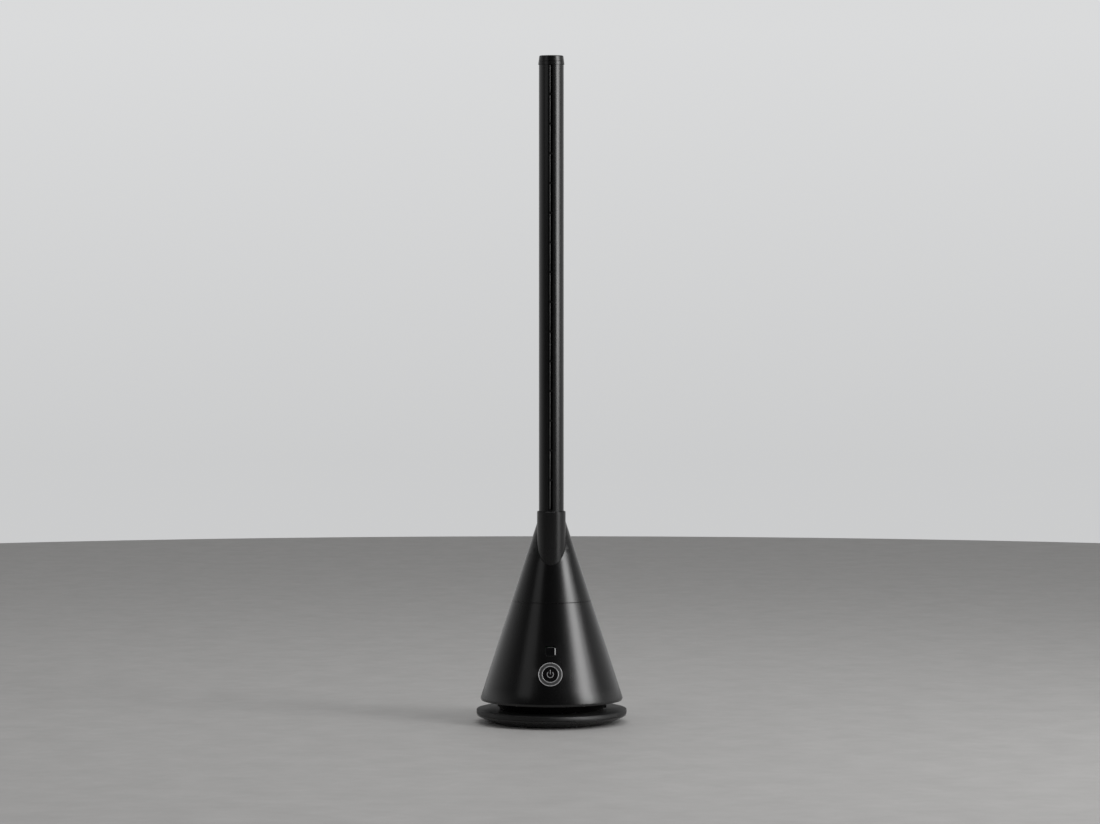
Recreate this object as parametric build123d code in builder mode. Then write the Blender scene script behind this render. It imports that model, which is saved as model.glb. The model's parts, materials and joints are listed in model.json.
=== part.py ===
"""Slim tower fan: round base, turning cone with the blower inside, offset slotted outlet tube.

Millimetres. The origin is on the floor under the middle of the base disc, +Z is up and the
front of the fan faces -Y.
"""
import os
from math import acos, atan, cos, pi, radians, sin, sqrt, tan

from build123d import *

os.makedirs("parts", exist_ok=True)

# Overall sizes
total_height = 1020.0
base_radius = 115.0
base_height = 20.0

# Clearances
running = 0.06           # radial, post in hub and shaft in bearing
slip = 0.1               # radial, pieces that slide together once
air = 0.3                # between pieces that move past each other
reveal = 0.4             # visible half gap where two casings meet

# Base casings
foot_height = 1.5
cover_foot_inset = 21.0  # the cover's foot is this much smaller than the base
cover_floor = 3.0
cover_wall = 2.4
cover_band_low = 11.0
cover_edge_radius = 3.0
base_parting = 13.4
disc_top_wall = 2.8
disc_side_wall = 2.8
disc_top_rounding = 1.2
parting_bevel = 0.4

# Feet
foot_count = 6
foot_inset = 16.0         # from the cover's foot in to the middle of a rubber foot
foot_radius = 8.0
foot_recess = 0.8

# Ballast plate
weight_inset = 6.0       # the plate is this much smaller than the cover's foot
weight_thickness = 7.5

# Base screws
base_screw_count = 6
base_screw_inset = 8.0    # from the plate's edge in to the screws
base_screw_head_radius = 3.2
base_screw_head_height = 1.6
base_screw_radius = 1.5
base_screw_boss_radius = 4.5
base_screw_sink = 0.4

# Power inlet and its lead
inlet_width = 11.0
inlet_height = 7.4
inlet_depth = 14.0
inlet_recess = 2.4       # the socket's face lies this far inside the rim
inlet_socket_radius = 2.85
inlet_socket_depth = 9.5
inlet_pin_radius = 1.0
lead_radius = 1.8
lead_bend = 8.0

# Pivot post
post_radius = 20.0
post_bore = 14.0
post_flange_radius = 34.0
post_flange = 3.0
post_shoulder = 33.1
post_neck_radius = 17.5
post_top = 42.0
post_screw_count = 4
post_screw_ring_radius = 28.5
post_screw_radius = 1.6
post_screw_length = 6.0
post_groove = 1.0        # depth of the clip's groove in the neck

# Ball race
ball_radius = 2.0
ball_count = 12
ball_ring_radius = 56.0
race_half_width = 5.0
race_height = 1.9
ball_rise = 3.0
cage_thickness = 1.4
cage_inset = 1.0         # the cage is this much narrower than the races, each side

# Swing drive
gear_module = 1.25
gear_teeth = 48
pinion_teeth = 12
gear_height = 6.0
gear_backlash = 0.35
gear_spread = 0.15
tooth_head = 0.8         # tip height in modules
tooth_foot = 1.15        # root depth in modules
pressure_angle = radians(20)
clip_thickness = 1.2
clip_rim = 3.0
swing_motor_radius = 14.0
swing_motor_height = 19.0
swing_motor_low = 43.0
swing_shaft_offset = 8.0
swing_shaft_radius = 2.5
swing_ear_half_pitch = 17.5
swing_ear_thickness = 1.0
swing_boss_radius = 3.2
swing_shaft_sink = 3.0   # how far the shaft runs up into the motor
swing_nose_wall = 2.0    # collar round the shaft under the motor
swing_nose_height = 1.5
swing_plug_depth = 5.0   # connector block on the side of the motor
swing_plug_width = 15.0
swing_plug_drop = 2.0
swing_screw_radius = 1.4
swing_screw_head_radius = 2.8
swing_screw_head_height = 1.8
swing_screw_length = 8.0
swing_ear_hole = 1.6

# Floor pan
pan_foot_inset = 8.0      # how far the pan's foot lies inside its shoulder
pan_foot_low = 21.5
pan_shoulder_low = 32.0
pan_flange_width = 3.0
pan_wall = 2.5
pan_step_radius = 66.0
pan_deck_low = 26.4
pan_deck = 2.6
hub_wall = 3.5
spoke_count = 6
spoke_width = 7.0
spoke_lap = 0.6           # how far a spoke reaches past the grille
spoke_height = 4.0

# Intake grille
grille_gap = 2.47         # between the grille and the inside of the cone's rim
grille_thickness = 2.4
grille_slot_count = 48
grille_slot_width = 3.4
grille_slot_length = 6.0
grille_slot_inset = 2.2   # from the ring of screws in to the slots
grille_slot_margin = 1.0  # from the slots in to the pan's flange
shell_screw_inset = 3.2   # from the grille's edge in to its screws
shell_screw_radius = 1.5
shell_screw_head_radius = 2.9
shell_screw_length = 12.5
shell_boss_radius = 3.4
shell_boss_top = 50.0

# Cone casings
cone_apex = 373.5
cone_slope = 0.324
rim_low = 34.0
rim_rounding = 3.0
rim_inset = 1.2          # how far the rim's rounding draws in
rim_extra = 1.5          # the wall is this much thicker at the rim
rim_taper_top = 50.0
shell_wall = 2.5
seam_height = 186.0
tongue_height = 5.0
tongue_wall = 1.2
back_cut_height = 317.0  # slanted top of the cone, over the axis
back_cut_slope = 0.85

# Button and window on the slanted front
button_height = 82.0
ring_radius = 18.15
ring_bore = 11.8
ring_proud = 0.5
ring_skirt = 5.0
ring_flange_radius = 20.3
ring_flange = 1.4
ring_lip = 2.2
button_travel = 1.0
button_flange = 1.2
button_stem_radius = 2.6
switch_size = 6.0
switch_height = 2.6
plunger_radius = 1.7
front_board_depth = 9.8
board_thickness = 1.6
front_board_width = 30.0
front_board_low = -28.0
front_board_over = 3.51  # the board reaches this far past the window
front_boss_radius = 2.6
front_screw_radius = 1.1
front_screw_length = 5.0
front_boss_side = 12.0
front_boss_low = -24.5
front_boss_gap = 0.7     # from the ring's flange to the upper bosses
window_gap = 9.84        # along the slant, from the ring to the window
window_width = 16.0
window_tall = 15.5
window_corner = 4.0
window_flange = 1.6
window_proud = 0.1

# Control board
control_width = 56.0
control_depth = 24.0
control_front = 38.0
control_low = 34.0
control_boss_side = 24.0
control_boss_inset = 3.5
control_boss_radius = 2.6
board_screw_radius = 1.2
board_screw_head_radius = 2.2
board_screw_head_height = 1.4
board_screw_length = 5.0
capacitor_radius = 4.0
capacitor_height = 11.0
choke_size = (14.0, 10.0, 8.0)
chip_size = (7.0, 7.0, 3.0)
part_spread = 12.0       # from the board's middle to the capacitor and the choke
lead_inset = 4.0         # the lead meets the board this far from its front edge
board_lead_bend = 4.0

# Blower
shroud_low = 66.0
shroud_mouth_radius = 52.0
shroud_throat_low = 76.0
shroud_throat_radius = 41.0
shroud_wall = 2.0
stage_low = 114.0        # where the impeller ends and the diffuser begins
stage_radius = 51.0
diffuser_high = 152.0
bucket_radius = 36.5
bucket_wall = 2.0
vane_count = 9
vane_thickness = 1.6
vane_turn = 34.0
blade_count = 9
blade_thickness = 1.6
blade_turn = 56.0
tip_gap = 0.8
hub_nose_radius = 12.0
hub_back_radius = 36.0
hub_wall_thickness = 2.4
wheel_low = 76.0
wheel_high = 112.0
flange_radius = 64.0
flange_thickness = 2.4
bush_count = 4
bush_ring_radius = 59.0
bush_radius = 5.0
bush_height = 2.5
bush_screw_radius = 1.6
bush_boss_length = 12.0
web_thickness = 4.0
dome_height = 17.0
hub_middle_radius = 19.5
hub_middle_share = 0.53  # share of the wheel's height
hub_web_share = 0.22
hub_sleeve_wall = 4.0
hub_sleeve_drop = 2.0
blade_steps = 4
blade_sink = 1.0         # how far a blade's root enters the hub
blade_root_radius = 9.0

# Blower motor
shaft_radius = 2.5
shaft_low = 72.4
motor_radius = 28.0
motor_low = 116.0
motor_high = 148.0
motor_wall = 1.5
bearing_radius = 6.5
bearing_width = 4.0
stator_low = 124.0
stator_high = 140.0
stator_yoke = 4.0
stator_bore = 15.0
pole_count = 9
pole_width = 4.0
winding_width = 9.4
rotor_radius = 14.4
motor_screw_ring_radius = 18.0
motor_screw_count = 3
motor_screw_radius = 1.25
motor_screw_head_radius = 2.4
motor_screw_head_height = 1.5
bearing_lip = 2.0        # wall round a bearing, and the ledge under it
motor_cap_thickness = 2.0
shaft_hole_air = 1.0
pole_foot = 1.0          # how far a pole runs into the yoke
winding_rise = 2.0       # windings stand this far over each end of the poles
winding_gap = 1.0
rotor_bevel = 0.6
shaft_bevel = 0.4
shaft_end_drop = 1.0
nut_radius = 5.0
nut_height = 3.4

# Duct, collar and tube
tube_forward = 20.0
tube_radius = 19.0
tube_wall = 1.8
collar_radius = 21.85
collar_low = 226.0
collar_high = 324.0
collar_bevel = 0.9
collar_gap = 0.5
collar_flange = 3.0
collar_ear_side = 28.0
collar_ear_radius = 5.0
collar_boss_radius = 3.6
collar_screw_radius = 1.5
duct_wall = 2.0
duct_neck_drop = 4.0      # the duct is already round this far under the collar
duct_high = 236.0
seal_height = 2.5
gasket_thickness = 0.8
blower_head_radius = 3.0
blower_head_height = 2.0
collar_head_radius = 2.9
collar_head_height = 2.0
collar_screw_length = 12.0
pilot_extra = 2.0        # a pilot hole is this much longer than its screw

# Outlet slot
slot_low = 327.0
slot_left = 3.9
slot_right = 2.2
lip_left = 2.4
lip_right = 0.9
lip_recess = 0.7
strip_wall = 1.3
strip_reach = 42.0       # degrees that each inner wall runs round from the slot
rib_count = 14
rib_height = 2.6
rib_recess = 1.1
rib_root = 0.8           # how far a rib runs behind the edge of the slot
rib_sink = 0.3

# Cap
cap_height = 14.0
lid_height = 9.0
cap_low_radius = 20.1
cap_top_radius = 18.4
cap_top_rounding = 1.6
cap_spigot = 8.0
cap_bore = 13.6
cap_spigot_wall = 2.0

tilt = atan(cone_slope)
radial_wall = shell_wall / cos(tilt)
cover_low = foot_height
cover_foot_radius = base_radius - cover_foot_inset
weight_radius = cover_foot_radius - weight_inset
foot_ring_radius = cover_foot_radius - foot_inset
base_screw_ring_radius = weight_radius - base_screw_inset
inlet_face = base_radius - inlet_recess
cap_low = total_height - cap_height
cap_seam = total_height - lid_height
floor_top = cover_low + cover_floor
weight_top = floor_top + weight_thickness
disc_under = base_height - disc_top_wall
hub_radius = post_radius + running
ball_level = base_height + ball_rise
ball_top = ball_level + ball_radius
upper_race_low = pan_deck_low - race_height
deck_top = pan_deck_low + pan_deck
gear_low = post_shoulder
gear_high = gear_low + gear_height
gear_pitch_radius = gear_module * gear_teeth / 2
pinion_pitch_radius = gear_module * pinion_teeth / 2
pinion_x = -(gear_pitch_radius + pinion_pitch_radius + gear_spread)
swing_motor_x = pinion_x - swing_shaft_offset
grille_low = pan_shoulder_low + pan_wall
spoke_low = grille_low + grille_thickness
spoke_top = spoke_low + spoke_height
seam_low = seam_height - reveal
seam_high = seam_height + reveal
control_back = control_front + control_depth
control_boss_front = control_front + control_boss_inset
control_boss_back = control_back - control_boss_inset
vane_low = stage_low + 4
vane_high = diffuser_high - 4
diffuser_flange_low = diffuser_high - flange_thickness
bush_low = diffuser_flange_low - bush_height
duct_low = diffuser_high + gasket_thickness
duct_flange_top = duct_low + flange_thickness
shroud_lap_low = stage_low - 6
tube_low = duct_high + seal_height
duct_neck = collar_low - duct_neck_drop
tube_bore = tube_radius - tube_wall
slot_pitch = (cap_low - slot_low) / (rib_count + 1)

FROM_BELOW = (Align.CENTER, Align.CENTER, Align.MIN)
tube_axis = Axis((0, -tube_forward, 0), (0, 0, 1))
tube_profile_plane = Plane((0, -tube_forward, 0), x_dir=(1, 0, 0), z_dir=(0, -1, 0))


def cone_radius(height):
    """Radius of the outside of the cone at a height."""
    return (cone_apex - height) * cone_slope


# The grille fills the cone's rim, and its screws, slots and the floor pan follow it inwards.
# Its radius is rounded to a hundredth of a millimetre.
rim_inner = cone_radius(rim_low) - radial_wall - rim_extra
grille_outer_radius = round(rim_inner - grille_gap, 2)
shell_screw_ring_radius = grille_outer_radius - shell_screw_inset
grille_slot_outer = shell_screw_ring_radius - grille_slot_inset
grille_slot_inner = grille_slot_outer - grille_slot_length
spoke_reach = grille_outer_radius + spoke_lap
pan_flange_radius = grille_slot_inner - grille_slot_margin
pan_shoulder_radius = pan_flange_radius - pan_flange_width
pan_foot_radius = pan_shoulder_radius - pan_foot_inset


front_plane = Plane(
    origin=(0, -cone_radius(button_height), button_height),
    x_dir=(1, 0, 0),
    z_dir=(0, -cos(tilt), sin(tilt)),
)
window_up = ring_radius + window_gap + window_tall / 2
front_boss_high = ring_flange_radius + front_boss_radius + front_boss_gap
front_board_high = window_up + window_tall / 2 + front_board_over


def turn(outline, mode=Mode.ADD, plane=Plane.XZ, axis=Axis.Z):
    """Turn a closed outline of (radius, height) points round an upright axis."""
    with BuildSketch(plane) as profile:
        with BuildLine():
            Polyline(*outline, close=True)
        make_face()
    revolve(profile.sketch, axis=axis, mode=mode)


def tube_ring(inner, outer, low, high, mode=Mode.ADD):
    """An upright ring round the outlet tube's axis."""
    outline = [(inner, low), (outer, low), (outer, high), (inner, high)]
    turn(outline, mode=mode, plane=tube_profile_plane, axis=tube_axis)


def ring(inner, outer, low, high, mode=Mode.ADD):
    """An upright ring round the fan's own axis."""
    turn([(inner, low), (outer, low), (outer, high), (inner, high)], mode=mode)


def rod(radius, low, high, mode=Mode.ADD):
    """An upright cylinder at each of the places that are current."""
    with Locations((0, 0, low)):
        Cylinder(radius, high - low, align=FROM_BELOW, mode=mode)


def screw(head_radius, head_low, head_high, shank_radius, tip):
    """A screw at each current place, its head on the side away from the tip."""
    rod(head_radius, head_low, head_high)
    rod(shank_radius, min(tip, head_low), max(tip, head_high))


def front_disc(radius, deep, shallow, bore=0.0, mode=Mode.ADD):
    """A disc or ring square to the slanted front, between two depths under the surface."""
    with BuildSketch(front_plane.offset(-deep)) as face:
        Circle(radius)
        if bore > 0:
            Circle(bore, mode=Mode.SUBTRACT)
    extrude(face.sketch, amount=deep - shallow, mode=mode)


def window_block(grow, deep, shallow, mode=Mode.ADD):
    """The window's outline, grown all round, between two depths under the surface."""
    with BuildSketch(front_plane.offset(-deep)) as face:
        with Locations((0, window_up)):
            RectangleRounded(window_width + 2 * grow, window_tall + 2 * grow, window_corner)
    extrude(face.sketch, amount=deep - shallow, mode=mode)


def write(piece, name):
    """Label a finished piece and save it."""
    piece.part.label = name
    export_step(piece.part, f"parts/{name}.step")


# Base

# Top casing: a shallow dish turned over, with bosses for the screws that come from below.
with BuildPart() as base_disc:
    rod(base_radius, base_parting, base_height)
    fillet(base_disc.edges().group_by(Axis.Z)[-1], disc_top_rounding)
    chamfer(base_disc.edges().group_by(Axis.Z)[0], parting_bevel)
    rod(base_radius - disc_side_wall, base_parting, disc_under, mode=Mode.SUBTRACT)
    with PolarLocations(base_screw_ring_radius, base_screw_count):
        rod(base_screw_boss_radius, weight_top, disc_under)
        rod(base_screw_radius + slip, weight_top, disc_under - air, mode=Mode.SUBTRACT)
    rod(post_radius + slip, disc_under, base_height, mode=Mode.SUBTRACT)
    with Locations((0, inlet_face, disc_under)):
        Box(inlet_width + 2 * slip, 2 * inlet_depth, 2 * inlet_height,
            align=(Align.CENTER, Align.CENTER, Align.MAX), mode=Mode.SUBTRACT)
write(base_disc, "base_disc")

# Bottom casing: a flat floor inside a rim that tapers out to meet the top casing.
taper_rise = cover_band_low - cover_low
taper_run = base_radius - air - cover_foot_radius
taper_shift = cover_wall * sqrt(taper_rise**2 + taper_run**2) / taper_rise
floor_radius = cover_foot_radius + taper_run * cover_floor / taper_rise - taper_shift
with BuildPart() as base_cover:
    cover_outer = base_radius - air
    turn([(0, cover_low), (cover_foot_radius, cover_low), (cover_outer, cover_band_low),
          (cover_outer, base_parting), (0, base_parting)])
    chamfer(base_cover.edges().group_by(Axis.Z)[-1], parting_bevel)
    band = base_cover.edges().filter_by(
        lambda edge: abs(edge.center().Z - cover_band_low) < 0.01)
    fillet(band, cover_edge_radius)
    cover_inner = base_radius - disc_side_wall
    inner_turn = floor_top + (cover_inner - floor_radius) * taper_rise / taper_run
    turn([(0, floor_top), (floor_radius, floor_top), (cover_inner, inner_turn),
          (cover_inner, base_parting), (0, base_parting)], mode=Mode.SUBTRACT)
    with PolarLocations(base_screw_ring_radius, base_screw_count):
        rod(base_screw_radius + slip, cover_low, floor_top, mode=Mode.SUBTRACT)
        rod(base_screw_head_radius + slip, cover_low,
            cover_low + base_screw_sink + base_screw_head_height, mode=Mode.SUBTRACT)
    with PolarLocations(foot_ring_radius, foot_count, start_angle=180 / foot_count):
        rod(foot_radius + slip, cover_low, cover_low + foot_recess, mode=Mode.SUBTRACT)
    with Locations((0, inlet_face, disc_under)):
        Box(inlet_width + 2 * slip, 2 * inlet_depth, inlet_height + slip,
            align=(Align.CENTER, Align.CENTER, Align.MAX), mode=Mode.SUBTRACT)
write(base_cover, "base_cover")

# Rubber feet, each in its shallow recess.
with BuildPart() as base_feet:
    with PolarLocations(foot_ring_radius, foot_count, start_angle=180 / foot_count):
        rod(foot_radius, 0, cover_low + foot_recess)
    chamfer(base_feet.edges().group_by(Axis.Z)[0], parting_bevel)
write(base_feet, "base_feet")

# Ballast plate, clamped between the floor and the bosses, with a groove for the lead.
lead_level = weight_top - slip
with BuildPart() as base_weight:
    ring(post_bore, weight_radius, floor_top, weight_top)
    chamfer(base_weight.edges().group_by(Axis.Z)[-1], parting_bevel)
    with PolarLocations(base_screw_ring_radius, base_screw_count):
        rod(base_screw_radius + 4 * slip, floor_top, weight_top, mode=Mode.SUBTRACT)
    with PolarLocations(post_screw_ring_radius, post_screw_count, start_angle=45):
        rod(post_screw_radius + slip / 2, floor_top, weight_top, mode=Mode.SUBTRACT)
    with Locations((0, 0, lead_level - lead_radius - slip)):
        Box(2 * (lead_radius + slip), weight_radius, base_height,
            align=(Align.CENTER, Align.MIN, Align.MIN), mode=Mode.SUBTRACT)
write(base_weight, "base_weight")

# Screws from below, through the floor and the ballast plate into the bosses.
base_head_low = cover_low + base_screw_sink
with BuildPart() as base_screws:
    with PolarLocations(base_screw_ring_radius, base_screw_count):
        screw(base_screw_head_radius, base_head_low, base_head_low + base_screw_head_height,
              base_screw_radius, disc_under - 2 * air)
write(base_screws, "base_screws")

# Low-voltage socket: a block with a round well and the contact pin in it.
with BuildPart() as power_inlet:
    with Locations((0, inlet_face, disc_under)):
        Box(inlet_width, inlet_depth, inlet_height,
            align=(Align.CENTER, Align.MAX, Align.MAX))
    socket_plane = Plane((0, inlet_face, disc_under - inlet_height / 2),
                         x_dir=(-1, 0, 0), z_dir=(0, 1, 0))
    chamfer(power_inlet.faces().sort_by(Axis.Y)[-1].edges(), parting_bevel)
    with BuildSketch(socket_plane):
        Circle(inlet_socket_radius)
        Circle(inlet_pin_radius, mode=Mode.SUBTRACT)
    extrude(amount=-inlet_socket_depth, mode=Mode.SUBTRACT)
write(power_inlet, "power_inlet")

# Inner lead: along the ballast plate, then up the bore of the post.
with BuildPart() as inlet_lead:
    with BuildLine():
        FilletPolyline((0, inlet_face - inlet_depth, lead_level), (0, 0, lead_level),
                       (0, 0, gear_low), radius=lead_bend)
    with BuildSketch(Plane((0, inlet_face - inlet_depth, lead_level), z_dir=(0, -1, 0))):
        Circle(lead_radius)
    sweep()
write(inlet_lead, "inlet_lead")

# Hollow post with a flange that is screwed to the ballast plate.
clip_low = gear_high + slip
with BuildPart() as pivot_post:
    flange_top = weight_top + post_flange
    turn([(post_bore, weight_top), (post_flange_radius, weight_top),
          (post_flange_radius, flange_top), (post_radius, flange_top),
          (post_radius, post_shoulder), (post_neck_radius, post_shoulder),
          (post_neck_radius, post_top), (post_bore, post_top)])
    chamfer(pivot_post.edges().group_by(Axis.Z)[-1].sort_by(SortBy.LENGTH)[-1], parting_bevel)
    ring(post_neck_radius - post_groove, post_radius, clip_low, clip_low + clip_thickness,
         mode=Mode.SUBTRACT)
    with PolarLocations(post_screw_ring_radius, post_screw_count, start_angle=45):
        rod(post_screw_radius + slip, weight_top, flange_top, mode=Mode.SUBTRACT)
    with Locations((0, 0, weight_top)):
        Box(2 * (lead_radius + slip), base_radius, lead_radius + slip,
            align=(Align.CENTER, Align.MIN, Align.MIN), mode=Mode.SUBTRACT)
write(pivot_post, "pivot_post")

with BuildPart() as post_screws:
    with PolarLocations(post_screw_ring_radius, post_screw_count, start_angle=45):
        screw(2 * post_screw_radius, flange_top, flange_top + post_screw_radius,
              post_screw_radius, weight_top - post_screw_length)
write(post_screws, "post_screws")

# Ball race between the base and the body. The lower race lies on the disc.
race_inner = ball_ring_radius - race_half_width
race_outer = ball_ring_radius + race_half_width
ball_centre = (0, 0, ball_level)
with BuildPart() as lower_race:
    ring(race_inner, race_outer, base_height, base_height + race_height)
    with Locations(ball_centre):
        Torus(ball_ring_radius, ball_radius + slip / 2, mode=Mode.SUBTRACT)
write(lower_race, "lower_race")

with BuildPart() as race_balls:
    with Locations(ball_centre):
        with PolarLocations(ball_ring_radius, ball_count):
            Sphere(ball_radius)
write(race_balls, "race_balls")

with BuildPart() as ball_cage:
    cage_low = ball_level - cage_thickness / 2
    ring(race_inner + cage_inset, race_outer - cage_inset, cage_low, cage_low + cage_thickness)
    with PolarLocations(ball_ring_radius, ball_count):
        rod(ball_radius + slip, cage_low, cage_low + cage_thickness, mode=Mode.SUBTRACT)
write(ball_cage, "ball_cage")

with BuildPart() as upper_race:
    ring(race_inner, race_outer, upper_race_low, pan_deck_low)
    with Locations(ball_centre):
        Torus(ball_ring_radius, ball_radius + air, mode=Mode.SUBTRACT)
write(upper_race, "upper_race")


# Swing drive

def involute(radius, base_radius_of_teeth):
    """How far an involute has turned when it has reached a radius."""
    if radius <= base_radius_of_teeth:
        return 0.0
    reach = sqrt((radius / base_radius_of_teeth) ** 2 - 1)
    return reach - acos(base_radius_of_teeth / radius)


def gear_outline(teeth, first_angle):
    """Corner points of a spur gear, one tooth centred on the first angle."""
    pitch_radius = gear_module * teeth / 2
    tooth_base = pitch_radius * cos(pressure_angle)
    tip = pitch_radius + tooth_head * gear_module
    root = pitch_radius - tooth_foot * gear_module
    half_at_pitch = pi / (2 * teeth) - gear_backlash / (4 * pitch_radius)
    stations = [root, max(root, tooth_base), pitch_radius, tip]
    if root > tooth_base:
        stations = [root, pitch_radius, tip]
    halves = [half_at_pitch + involute(pitch_radius, tooth_base) - involute(r, tooth_base)
              for r in stations]
    corners = []
    for tooth in range(teeth):
        centre = first_angle + 2 * pi * tooth / teeth
        rising = [(r, centre - half) for r, half in zip(stations, halves)]
        falling = [(r, centre + half) for r, half in zip(stations, halves)]
        for r, angle in rising + falling[::-1]:
            corners.append((r * cos(angle), r * sin(angle)))
    return corners


# Gear on the post's shoulder. The pinion's axis lies on -X, where this gear has a tooth.
with BuildPart() as fixed_gear:
    with BuildSketch(Plane.XY.offset(gear_low)):
        with BuildLine():
            Polyline(*gear_outline(gear_teeth, pi), close=True)
        make_face()
        Circle(post_neck_radius + slip / 2, mode=Mode.SUBTRACT)
    extrude(amount=gear_height)
write(fixed_gear, "fixed_gear")

with BuildPart() as post_clip:
    ring(post_neck_radius - post_groove + slip / 2, post_neck_radius + clip_rim,
         clip_low, clip_low + clip_thickness - slip / 2)
    with Locations((0, post_neck_radius, clip_low)):
        Box(post_neck_radius, 2 * (clip_rim + post_groove), 4 * clip_thickness, mode=Mode.SUBTRACT)
write(post_clip, "post_clip")

# Pinion with a gap turned to the gear, on the shaft of the swing motor.
pinion_plane = Plane.XY.offset(gear_low).shift_origin(Vector(pinion_x, 0, gear_low))
with BuildPart() as drive_pinion:
    with BuildSketch(pinion_plane):
        with BuildLine():
            Polyline(*gear_outline(pinion_teeth, pi / pinion_teeth), close=True)
        make_face()
        Circle(swing_shaft_radius + slip / 2, mode=Mode.SUBTRACT)
    extrude(amount=gear_height)
write(drive_pinion, "drive_pinion")

swing_shaft_top = swing_motor_low + swing_shaft_sink
swing_nose_low = swing_motor_low - swing_nose_height
with BuildPart() as pinion_shaft:
    with Locations((pinion_x, 0, 0)):
        rod(swing_shaft_radius, gear_low, swing_shaft_top)
write(pinion_shaft, "pinion_shaft")

swing_ear_top = swing_motor_low + swing_ear_thickness
swing_ears = [(swing_motor_x, -swing_ear_half_pitch, 0), (swing_motor_x, swing_ear_half_pitch, 0)]
with BuildPart() as oscillation_motor:
    with BuildSketch(Plane.XY.offset(swing_motor_low)):
        with Locations((swing_motor_x, 0)):
            SlotCenterToCenter(2 * swing_ear_half_pitch, 2 * swing_boss_radius, rotation=90)
    extrude(amount=swing_ear_thickness)
    with Locations((swing_motor_x, 0, 0)):
        rod(swing_motor_radius, swing_motor_low, swing_motor_low + swing_motor_height)
    with Locations((pinion_x, 0, 0)):
        rod(swing_shaft_radius + swing_nose_wall, swing_nose_low, swing_motor_low)
        rod(swing_shaft_radius + running, swing_nose_low, swing_shaft_top + air,
            mode=Mode.SUBTRACT)
    with Locations((swing_motor_x - swing_motor_radius, 0, swing_motor_low)):
        Box(swing_plug_depth, swing_plug_width, swing_motor_height - swing_plug_drop,
            align=FROM_BELOW)
    with Locations(*swing_ears):
        rod(swing_ear_hole, swing_motor_low, swing_ear_top, mode=Mode.SUBTRACT)
write(oscillation_motor, "oscillation_motor")

with BuildPart() as oscillation_screws:
    with Locations(*swing_ears):
        screw(swing_screw_head_radius, swing_ear_top, swing_ear_top + swing_screw_head_height,
              swing_screw_radius, swing_ear_top - swing_screw_length)
write(oscillation_screws, "oscillation_screws")


# Turning body: chassis and intake

control_bosses = [(side, depth, 0) for side in (-control_boss_side, control_boss_side)
                  for depth in (control_boss_front, control_boss_back)]
with BuildPart() as floor_pan:
    turn([(hub_radius, pan_deck_low), (pan_step_radius - pan_wall, pan_deck_low),
          (pan_step_radius - pan_wall, pan_foot_low), (pan_foot_radius, pan_foot_low),
          (pan_shoulder_radius, pan_shoulder_low), (pan_flange_radius, pan_shoulder_low),
          (pan_flange_radius, grille_low), (pan_shoulder_radius - 2, grille_low),
          (pan_foot_radius - 2, pan_foot_low + pan_wall),
          (pan_step_radius, pan_foot_low + pan_wall), (pan_step_radius, deck_top),
          (hub_radius + hub_wall, deck_top), (hub_radius + hub_wall, post_shoulder - air),
          (hub_radius, post_shoulder - air)])
    with PolarLocations(0, spoke_count):
        with BuildSketch(Plane.XY.offset(spoke_low)) as spoke:
            with Locations(((pan_foot_radius + spoke_reach) / 2, 0)):
                Rectangle(spoke_reach - pan_foot_radius, spoke_width)
        extrude(spoke.sketch, amount=spoke_height)
        with BuildSketch(Plane.XY.offset(pan_foot_low)) as root:
            with Locations(((pan_foot_radius + pan_shoulder_radius) / 2 - 4, 0)):
                Rectangle(pan_shoulder_radius - pan_foot_radius, spoke_width)
        extrude(root.sketch, amount=spoke_low + spoke_height - pan_foot_low)
    with PolarLocations(shell_screw_ring_radius, spoke_count):
        rod(shell_screw_radius + slip, spoke_low, spoke_top, mode=Mode.SUBTRACT)
    with Locations(*swing_ears):
        rod(swing_boss_radius, deck_top, swing_motor_low)
        rod(swing_screw_radius + slip / 2, deck_top, swing_motor_low, mode=Mode.SUBTRACT)
    with Locations(*control_bosses):
        rod(control_boss_radius, deck_top, control_low)
        rod(board_screw_radius + slip / 2, deck_top, control_low, mode=Mode.SUBTRACT)
write(floor_pan, "floor_pan")

# Ring of radial slots, under the spokes and over the pan's flange.
with BuildPart() as intake_grille:
    ring(pan_shoulder_radius + slip, grille_outer_radius, grille_low, spoke_low)
    with BuildSketch(Plane.XY.offset(grille_low)):
        with PolarLocations((grille_slot_inner + grille_slot_outer) / 2, grille_slot_count,
                            start_angle=180 / grille_slot_count):
            Rectangle(grille_slot_outer - grille_slot_inner, grille_slot_width)
    extrude(amount=grille_thickness, mode=Mode.SUBTRACT)
    with PolarLocations(shell_screw_ring_radius, spoke_count):
        rod(shell_screw_radius + slip, grille_low, spoke_low, mode=Mode.SUBTRACT)
write(intake_grille, "intake_grille")

with BuildPart() as shell_screws:
    with PolarLocations(shell_screw_ring_radius, spoke_count):
        screw(shell_screw_head_radius, grille_low - shell_screw_radius, grille_low,
              shell_screw_radius, grille_low + shell_screw_length)
write(shell_screws, "shell_screws")


# Cone casings

# Outside of the cone above the seam, which also trims the bosses that grow through the wall.
with BuildPart() as cone_outside:
    turn([(0, seam_high), (cone_radius(seam_high), seam_high), (0, cone_apex)])

tongue_outer = tongue_wall + slip
web_low = bush_low - bush_boss_length

# Rib that carries a blower boss on the wall, its outer edge in the middle of the wall.
with BuildPart() as web:
    with BuildSketch(Plane.XZ):
        with BuildLine():
            Polyline((bush_ring_radius, web_low),
                     (cone_radius(web_low) - radial_wall / 2, web_low),
                     (cone_radius(bush_low) - radial_wall / 2, bush_low),
                     (bush_ring_radius, bush_low), close=True)
        make_face()
    extrude(amount=web_thickness / 2, both=True)

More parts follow.
